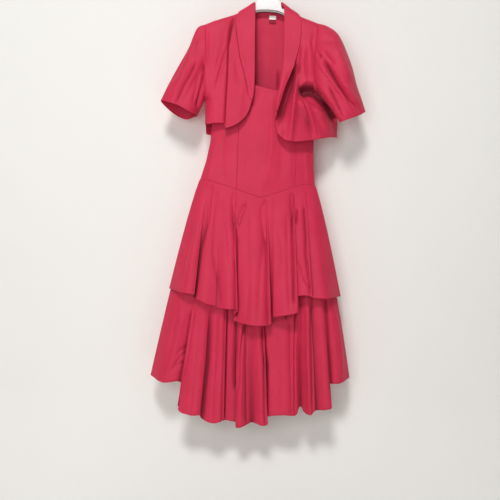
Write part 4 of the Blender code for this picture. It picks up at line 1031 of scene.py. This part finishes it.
def makeSleeve(name, sleeve, armholeFront, armholeBack, frontRule):
    # A tube: armhole ring + v * (cuff ring - armhole ring) + swelling * 4 w (1 - w), with w = v^0.75. Its
    # upper part also moves with the top line, by how far that line lies from the straight one there.
    half, rows = sleeveGrid["half"], sleeveGrid["rows"]
    shares = 0.7 * (0.5 - 0.5 * np.cos(np.pi * evenShares(half + 1))) + 0.3 * evenShares(half + 1)
    front = withDepth(smoothLine(armholeFront, shares), frontRule)
    back = withDepth(smoothLine(armholeBack, shares), jacketBack)
    ring = np.vstack([front, back[-2:0:-1]])
    share = np.arange(len(ring)) / len(ring)
    cuff = smoothLine(sleeve["cuff"], share, closed=True)
    angle = 2 * np.pi * share
    up = np.clip(np.cos(angle), 0.0, 1.0)
    ahead = np.clip(np.sin(angle - 0.35), 0.0, 1.0)
    cap = sleeve["puff"] * (0.12 + 0.88 * up ** 0.6)
    swell = -cap * np.sin(angle) - sleeve["forward"] * ahead
    bulge = np.stack([np.zeros_like(up), swell, np.zeros_like(up)], axis=1)
    v = evenShares(rows)[:, None, None]
    w = v ** sleeveGrid["widening"]
    grid = ring + (cuff - ring) * v + bulge * 4 * w * (1 - w)
    straightTop = ring[0] + (cuff[0] - ring[0]) * v[:, 0]
    moved = smoothLine(sleeve["top"], v[:, 0, 0]) - straightTop[:, (0, 2)]
    shift = np.stack([moved[:, 0], np.zeros(rows), moved[:, 1]], axis=1)
    grid = grid + shift[:, None] * (up ** 1.2)[None, :, None]
    if sleeve["sign"] > 0:
        grid = grid[:, ::-1]
    outward = outwardOf(grid, closed=True)
    # the creases are for the front alone, and are held flat where the sleeve is sewn in
    shown = smoothStep(-outward[..., 1] / 0.5) * smoothStep(v[..., 0] / sleeveGrid["held"])
    height = creaseHeight(grid[..., 0], grid[..., 2], sleeve["creases"]) * sleeve["foldGain"] * shown
    grid = grid + outward * height[..., None]
    addCloth(name, grid, ["jacketBack"], closed=True, hems=("bottom",))


makeSleeve("sleeveLeft", sleeveLeft, jacket["armholeLeft"], jacket["armholeLeft"], frontLeft)
makeSleeve("sleeveRight", sleeveRight, jacket["armholeRight"], jacket["armholeBackRight"], frontRight)
print("sleeves made")

# Hanger: a white moulded body with a dark rim under it, and a steel hook
hanger = {
    # distance from the middle, top and bottom of the head, then where the arm's lower edge runs
    "head": ((0.0, -0.056, -0.0905), (0.028, -0.0575, -0.0925), (0.0386, -0.068, -0.0958),
             (0.0425, -0.0835, -0.097), (0.047, -0.0865, -0.0985)),
    "armBottom": ((0.047, -0.0985), (0.06, -0.108), (0.08, -0.123), (0.11, -0.141), (0.15, -0.153),
                  (0.19, -0.166), (0.2, -0.168)),
    "armLine": ((0.043, -0.0755), (0.063, -0.0915), (0.08, -0.102), (0.101, -0.115), (0.154, -0.131),
                (0.2, -0.15)),
    "halfWidth": 0.192, "armBelow": 0.00507, "halfDepth": 0.005, "corner": 0.35, "endRound": 0.004,
    "rimHalfWidth": 0.13, "rimHeight": 0.0065, "rimHalfDepth": 0.0037, "rimGap": 0.0003, "rimCorner": 0.25,
    "rimChannel": 0.0006, "shoulder": 0.039,
    "hookRadius": 0.0217, "wire": 0.0017, "hookMiddle": -0.02, "hookBend": (-15.0, 235.0),
    "hookNeck": ((-0.0085, -0.0435), (-0.003, -0.0475), (0.0, -0.0515), (0.0, -0.0557)),
}
strap = {"width": 0.012, "wall": 0.0012, "rise": 0.002, "turn": 0.006, "halfDepth": 0.0082, "seat": 0.0006,
         "gap": 0.0003, "back": 0.08}
# left, right, top and bottom of each label
label = {"neckLabel": (0.0045, 0.0265, -0.103, -0.1155), "sizeLabel": (0.005, 0.026, -0.116, -0.128),
         "wall": 0.0005, "lift": 0.0032, "curl": 0.0004}


def plasticMaterial(name, look):
    # fine moulded grain, faint clouding and rubbed places that are a little smoother
    material, nodes = newMaterial(name)
    coords = nodes.objectPlaces()
    cloud = nodes.noise(coords, 14.0)
    colour = nodes.blend(cloud, look["dark"], look["light"])
    # a lighter band along the piece at stripePlace round its section: on the rim it runs along the middle of
    # its front, which is darker above and below it
    if "stripe" in look:
        around = nodes.add("ShaderNodeSeparateXYZ", {0: nodes.lengths()}).outputs[0]
        away = nodes.math("ABSOLUTE", nodes.math("SUBTRACT", around, look["stripePlace"]))
        inside = nodes.spread(away, look["stripeHalf"] * 1.3, look["stripeHalf"] * 0.7)
        colour = nodes.blend(inside, colour, look["stripe"])
    bump = nodes.bump(nodes.noise(coords, look["grain"]), look["bump"], 0.0003)
    rough = nodes.spread(cloud, 0.35, 0.65, look["roughness"] - 0.06, look["roughness"] + 0.06)
    finishMaterial(nodes, colour, bump, rough, {"Specular IOR Level": look["specular"]})
    return material


def steelMaterial(name, look):
    # drawn wire: fine scratches along it, a little uneven in shine
    material, nodes = newMaterial(name)
    scratch = nodes.stretched(nodes.lengths(), look["scratches"])
    colour = nodes.blend(nodes.noise(nodes.objectPlaces(), 60.0), look["dark"], look["light"])
    bump = nodes.bump(scratch, look["bump"], 0.0001)
    finishMaterial(nodes, colour, bump, nodes.spread(scratch, 0.3, 0.7, 0.2, 0.34), {"Metallic": 1.0})
    return material


hangerWhite = plasticMaterial("hangerWhite", {
    "dark": (0.8, 0.775, 0.775), "light": (0.87, 0.85, 0.85), "grain": 900.0, "bump": 0.12, "roughness": 0.36,
    "specular": 0.45})
rimTaupe = plasticMaterial("rimTaupe", {
    "dark": (0.11, 0.078, 0.07), "light": (0.16, 0.115, 0.102), "grain": 1400.0, "bump": 0.25,
    "roughness": 0.62, "specular": 0.25,
    "stripe": (0.52, 0.44, 0.4), "stripePlace": 0.0068, "stripeHalf": 0.0011})
hookSteel = steelMaterial("hookSteel", {
    "dark": (0.54, 0.54, 0.56), "light": (0.68, 0.68, 0.7), "scratches": (2400.0, 60.0, 1.0), "bump": 0.3})


def armTop(x):
    # the hanger's arm runs under the cloth and the strap that lie over it
    return readTable(hanger["armLine"], np.abs(x)) - hanger["armBelow"]


def makeStraps():
    # Up from the bodice front, half an oval over the hanger's arm, down to the back: the oval is
    # y = -d * sgn(cos) |cos|^0.7 and z = h * sin^0.7, the legs are straight.
    turn = np.pi * evenShares(33)
    turnY = -np.sign(np.cos(turn)) * strap["halfDepth"] * np.abs(np.cos(turn)) ** 0.7
    turnZ = (strap["turn"] + strap["rise"]) * np.maximum(np.sin(turn), 0.0) ** 0.7
    leg = evenShares(40)[:-1]
    offset = strap["width"] * (evenShares(13) - 0.5)
    fronts = {"strapLeft": bodice["neckline"][0], "strapRight": bodice["neckline"][-1]}
    for name, (frontX, frontTop) in fronts.items():
        backX = math.copysign(strap["back"], frontX)
        frontZ, backZ = frontTop + strap["seat"], bodice["backTop"] + strap["seat"]
        frontY = torsoDepth(np.array([frontX]), np.array([frontTop]), -1)[0] + strap["gap"]
        backY = torsoDepth(np.array([backX]), np.array([bodice["backTop"]]), 1)[0] - strap["gap"]
        frontLeg, backLeg = frontY + (turnY[0] - frontY) * leg, backY + (turnY[-1] - backY) * leg
        y = np.concatenate([frontLeg, turnY, backLeg[::-1]])
        middle = np.interp(np.arange(len(y)), (0, len(y) - 1), (frontX, backX))
        crown = (armTop(0.5 * (frontX + backX) + offset) - strap["turn"])[None, :]
        z = np.concatenate([frontZ + (crown - frontZ) * leg[:, None], crown + turnZ[:, None],
                            (backZ + (crown - backZ) * leg[:, None])[::-1]])
        x = middle[:, None] + offset[None, :]
        grid = np.stack([x, np.broadcast_to(y[:, None], x.shape), z], axis=-1)
        addCloth(name, grid[::-1], ["hangerBody"], wall=strap["wall"])


def makeLabels():
    # flat on the jacket's back inside, its free lower edge curling forward by curl * t^2
    for name, slot in (("neckLabel", "label_cream"), ("sizeLabel", "label_red")):
        left, right, top, bottom = label[name]
        x, z = np.meshgrid(np.linspace(left, right, 24), np.linspace(top, bottom, 16))
        y = jacketBack(x, z) - label["lift"] - label["curl"] * ((top - z) / (top - bottom)) ** 2
        addCloth(name, np.stack([x, y, z], axis=-1), ["jacketBack"], slot,
                 hems=("top", "bottom", "left", "right"), wall=label["wall"])


def addHanger(name, sections, material):
    # rings of points along the piece, drawn in to a point at both ends and merged there
    piece = addSurface(name, sections, material, closed=True)
    mesh = bmesh.new()
    mesh.from_mesh(piece.data)
    bmesh.ops.remove_doubles(mesh, verts=mesh.verts, dist=0.000002)
    bmesh.ops.recalc_face_normals(mesh, faces=mesh.faces)
    mesh.to_mesh(piece.data)
    mesh.free()
    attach(piece, "root")
    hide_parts(nodeName(name))


def barSections(x, top, bottom, halfDepth, corner, half):
    # Rounded rectangles: y = d * sgn(cos a) |cos a|^corner and z likewise with sin, from the top. They
    # shrink by sqrt(1 - t^2) over the last few millimetres.
    turn = np.pi * (0.5 - 2 * evenShares(49)[:-1])
    across = -np.sign(np.cos(turn)) * np.abs(np.cos(turn)) ** corner
    upwards = np.sign(np.sin(turn)) * np.abs(np.sin(turn)) ** corner
    late = np.clip((np.abs(x) - half + hanger["endRound"]) / hanger["endRound"], 0.0, 1.0)
    size = np.sqrt(1.0 - late ** 2)[:, None]
    middle, tall = 0.5 * (top + bottom)[:, None], 0.5 * (top - bottom)[:, None]
    return np.stack([np.broadcast_to(x[:, None], (len(x), 48)), halfDepth * across * size,
                     middle + tall * upwards * size], axis=-1)


def hangerStations(half, count):
    # close together at the head's shoulders and at the ends
    shoulder = 0.5 * hanger["shoulder"] / half
    places = ((0.5 - shoulder, 0.02, 2.0), (0.5 + shoulder, 0.02, 2.0), (0.0, 0.01, 8.0), (1.0, 0.01, 8.0))
    return half * (2.0 * crowdedShares(count, places) - 1.0)


def lowerEdge(x):
    head = [(row[0], row[2]) for row in hanger["head"]]
    return readTable(head + list(hanger["armBottom"][1:]), np.abs(x))


def makeHanger():
    headEnd = hanger["head"][-1][0]
    x = hangerStations(hanger["halfWidth"], 260)
    head = smoothLine([(row[0], row[1]) for row in hanger["head"]], evenShares(80))
    top = np.where(np.abs(x) < headEnd, readTable(head.tolist(), np.abs(x)), armTop(x))
    sections = barSections(x, top, lowerEdge(x), hanger["halfDepth"], hanger["corner"], hanger["halfWidth"])
    addHanger("hangerBody", sections, hangerWhite)

    x = hangerStations(hanger["rimHalfWidth"], 220)
    top = lowerEdge(x) - hanger["rimGap"]
    sections = barSections(x, top, top - hanger["rimHeight"], hanger["rimHalfDepth"], hanger["rimCorner"],
                           hanger["rimHalfWidth"])
    # a shallow channel along the front and the back, deepest in the middle: depth * exp(-(h / 0.3)^2)
    middle = 0.5 * (top + top - hanger["rimHeight"])[:, None]
    height = (sections[..., 2] - middle) / (0.5 * hanger["rimHeight"])
    sections[..., 1] -= np.sign(sections[..., 1]) * hanger["rimChannel"] * np.exp(-(height / 0.3) ** 2)
    addHanger("hangerRim", sections, rimTaupe)

    turn = np.radians(np.linspace(*hanger["hookBend"], 120))
    bend = hanger["hookRadius"] * np.stack([np.cos(turn), np.sin(turn)], axis=1)
    bend[:, 1] += hanger["hookMiddle"]
    path = np.vstack([bend, smoothLine([bend[-1], *hanger["hookNeck"]], evenShares(40))[1:]])
    run = unitVectors(np.gradient(path, axis=0))
    length = lengthAlong(path)
    late = np.clip(1.0 - np.minimum(length, length[-1] - length) / hanger["wire"], 0.0, 1.0)
    radius = (hanger["wire"] * np.sqrt(1.0 - late ** 2))[:, None]
    around = 2 * np.pi * evenShares(21)[:-1]
    # a round wire: path + radius * (cos a * its normal in the hook's plane, sin a * y)
    sections = np.stack([path[:, :1] - run[:, 1:] * radius * np.cos(around), radius * np.sin(around),
                         path[:, 1:] + run[:, :1] * radius * np.cos(around)], axis=-1)
    addHanger("hangerHook", sections, hookSteel)


makeHanger()
makeStraps()
makeLabels()
print("hanger, straps and labels made")

# Camera at the photograph's angle: level, and rolled against the garment's slight lean in the frame
view = {"place": (-0.0217, -2.35, -0.8525), "lens": 53.42, "roll": 2.7}


def makeCamera():
    lean = math.radians(view["roll"])
    camera = bpy.data.cameras.new("camera")
    camera.sensor_width = 36.0
    camera.lens = view["lens"]
    made = bpy.data.objects.new("camera", camera)
    bpy.context.scene.collection.objects.link(made)
    right = Vector((math.cos(lean), 0.0, math.sin(lean)))
    up = Vector((-math.sin(lean), 0.0, math.cos(lean)))
    turned = Matrix((right, up, right.cross(up))).transposed().to_4x4()
    made.matrix_world = Matrix.Translation(view["place"]) @ turned
    bpy.context.scene.camera = made


studio = {
    "world": (1.0, 0.992, 0.98), "worldStrength": 0.2, "wallY": 0.084, "floorZ": -1.8,
    "wallDark": (0.8, 0.785, 0.75), "wallLight": (0.84, 0.83, 0.8),
    # place, aim, size, watts
    "lights": {
        "key": ((-0.45, -3.0, 1.95), (0.0, 0.0, -0.75), 0.8, 86.0),
        "window": ((-0.7, -2.6, -0.6), (0.0, 0.0, -0.7), 1.3, 24.0),
        "fill": ((1.7, -2.7, -0.6), (0.0, 0.0, -0.8), 2.4, 2.0),
        "rear": ((0.6, 3.0, 0.4), (0.0, 0.0, -0.8), 2.0, 30.0),
    },
}


def makeStudio():
    world = bpy.data.worlds.new("studio")
    world.use_nodes = True
    background = world.node_tree.nodes["Background"]
    background.inputs[0].default_value = (*studio["world"], 1.0)
    background.inputs[1].default_value = studio["worldStrength"]
    bpy.context.scene.world = world
    for name, (place, aim, size, watts) in studio["lights"].items():
        light = bpy.data.lights.new(name, "AREA")
        light.size = size
        light.energy = watts
        made = bpy.data.objects.new(name, light)
        made.location = place
        made.rotation_euler = (Vector(aim) - Vector(place)).to_track_quat("-Z", "Y").to_euler()
        bpy.context.scene.collection.objects.link(made)

    # one sheet that runs down the wall, round a quarter circle and along the floor to the viewer
    radius, wallY, floorZ = 0.5, studio["wallY"], studio["floorZ"]
    turn = np.linspace(0.0, 0.5 * np.pi, 17)
    profile = np.concatenate([
        [(wallY, 1.6)],
        np.stack([wallY - radius + radius * np.cos(turn), floorZ + radius - radius * np.sin(turn)], axis=1),
        [(-3.6, floorZ)],
    ])
    across = np.linspace(-3.2, 3.2, 5)
    grid = np.stack(np.broadcast_arrays(across[None], profile[:, :1], profile[:, 1:]), axis=-1)
    material, nodes = newMaterial("paleWall")
    cloud = nodes.noise(nodes.objectPlaces(), 1.3, 2.0)
    colour = nodes.blend(cloud, studio["wallDark"], studio["wallLight"])
    matt = nodes.add("ShaderNodeBsdfDiffuse", {"Color": colour})
    clear = nodes.add("ShaderNodeBsdfTransparent")
    # from behind it is clear, and the rear light shines through it onto the garment's back
    behind = nodes.add("ShaderNodeNewGeometry").outputs["Backfacing"]
    shining = nodes.add("ShaderNodeLightPath").outputs["Is Shadow Ray"]
    passing = nodes.math("MAXIMUM", behind, shining)
    mixed = nodes.add("ShaderNodeMixShader", {0: passing, 1: matt.outputs[0], 2: clear.outputs[0]})
    nodes.add("ShaderNodeOutputMaterial", {"Surface": mixed.outputs[0]})
    backdrop = addSurface("backdrop", grid, material)


makeCamera()
makeStudio()
bpy.context.scene.view_settings.view_transform = "Standard"
print("camera and studio made")
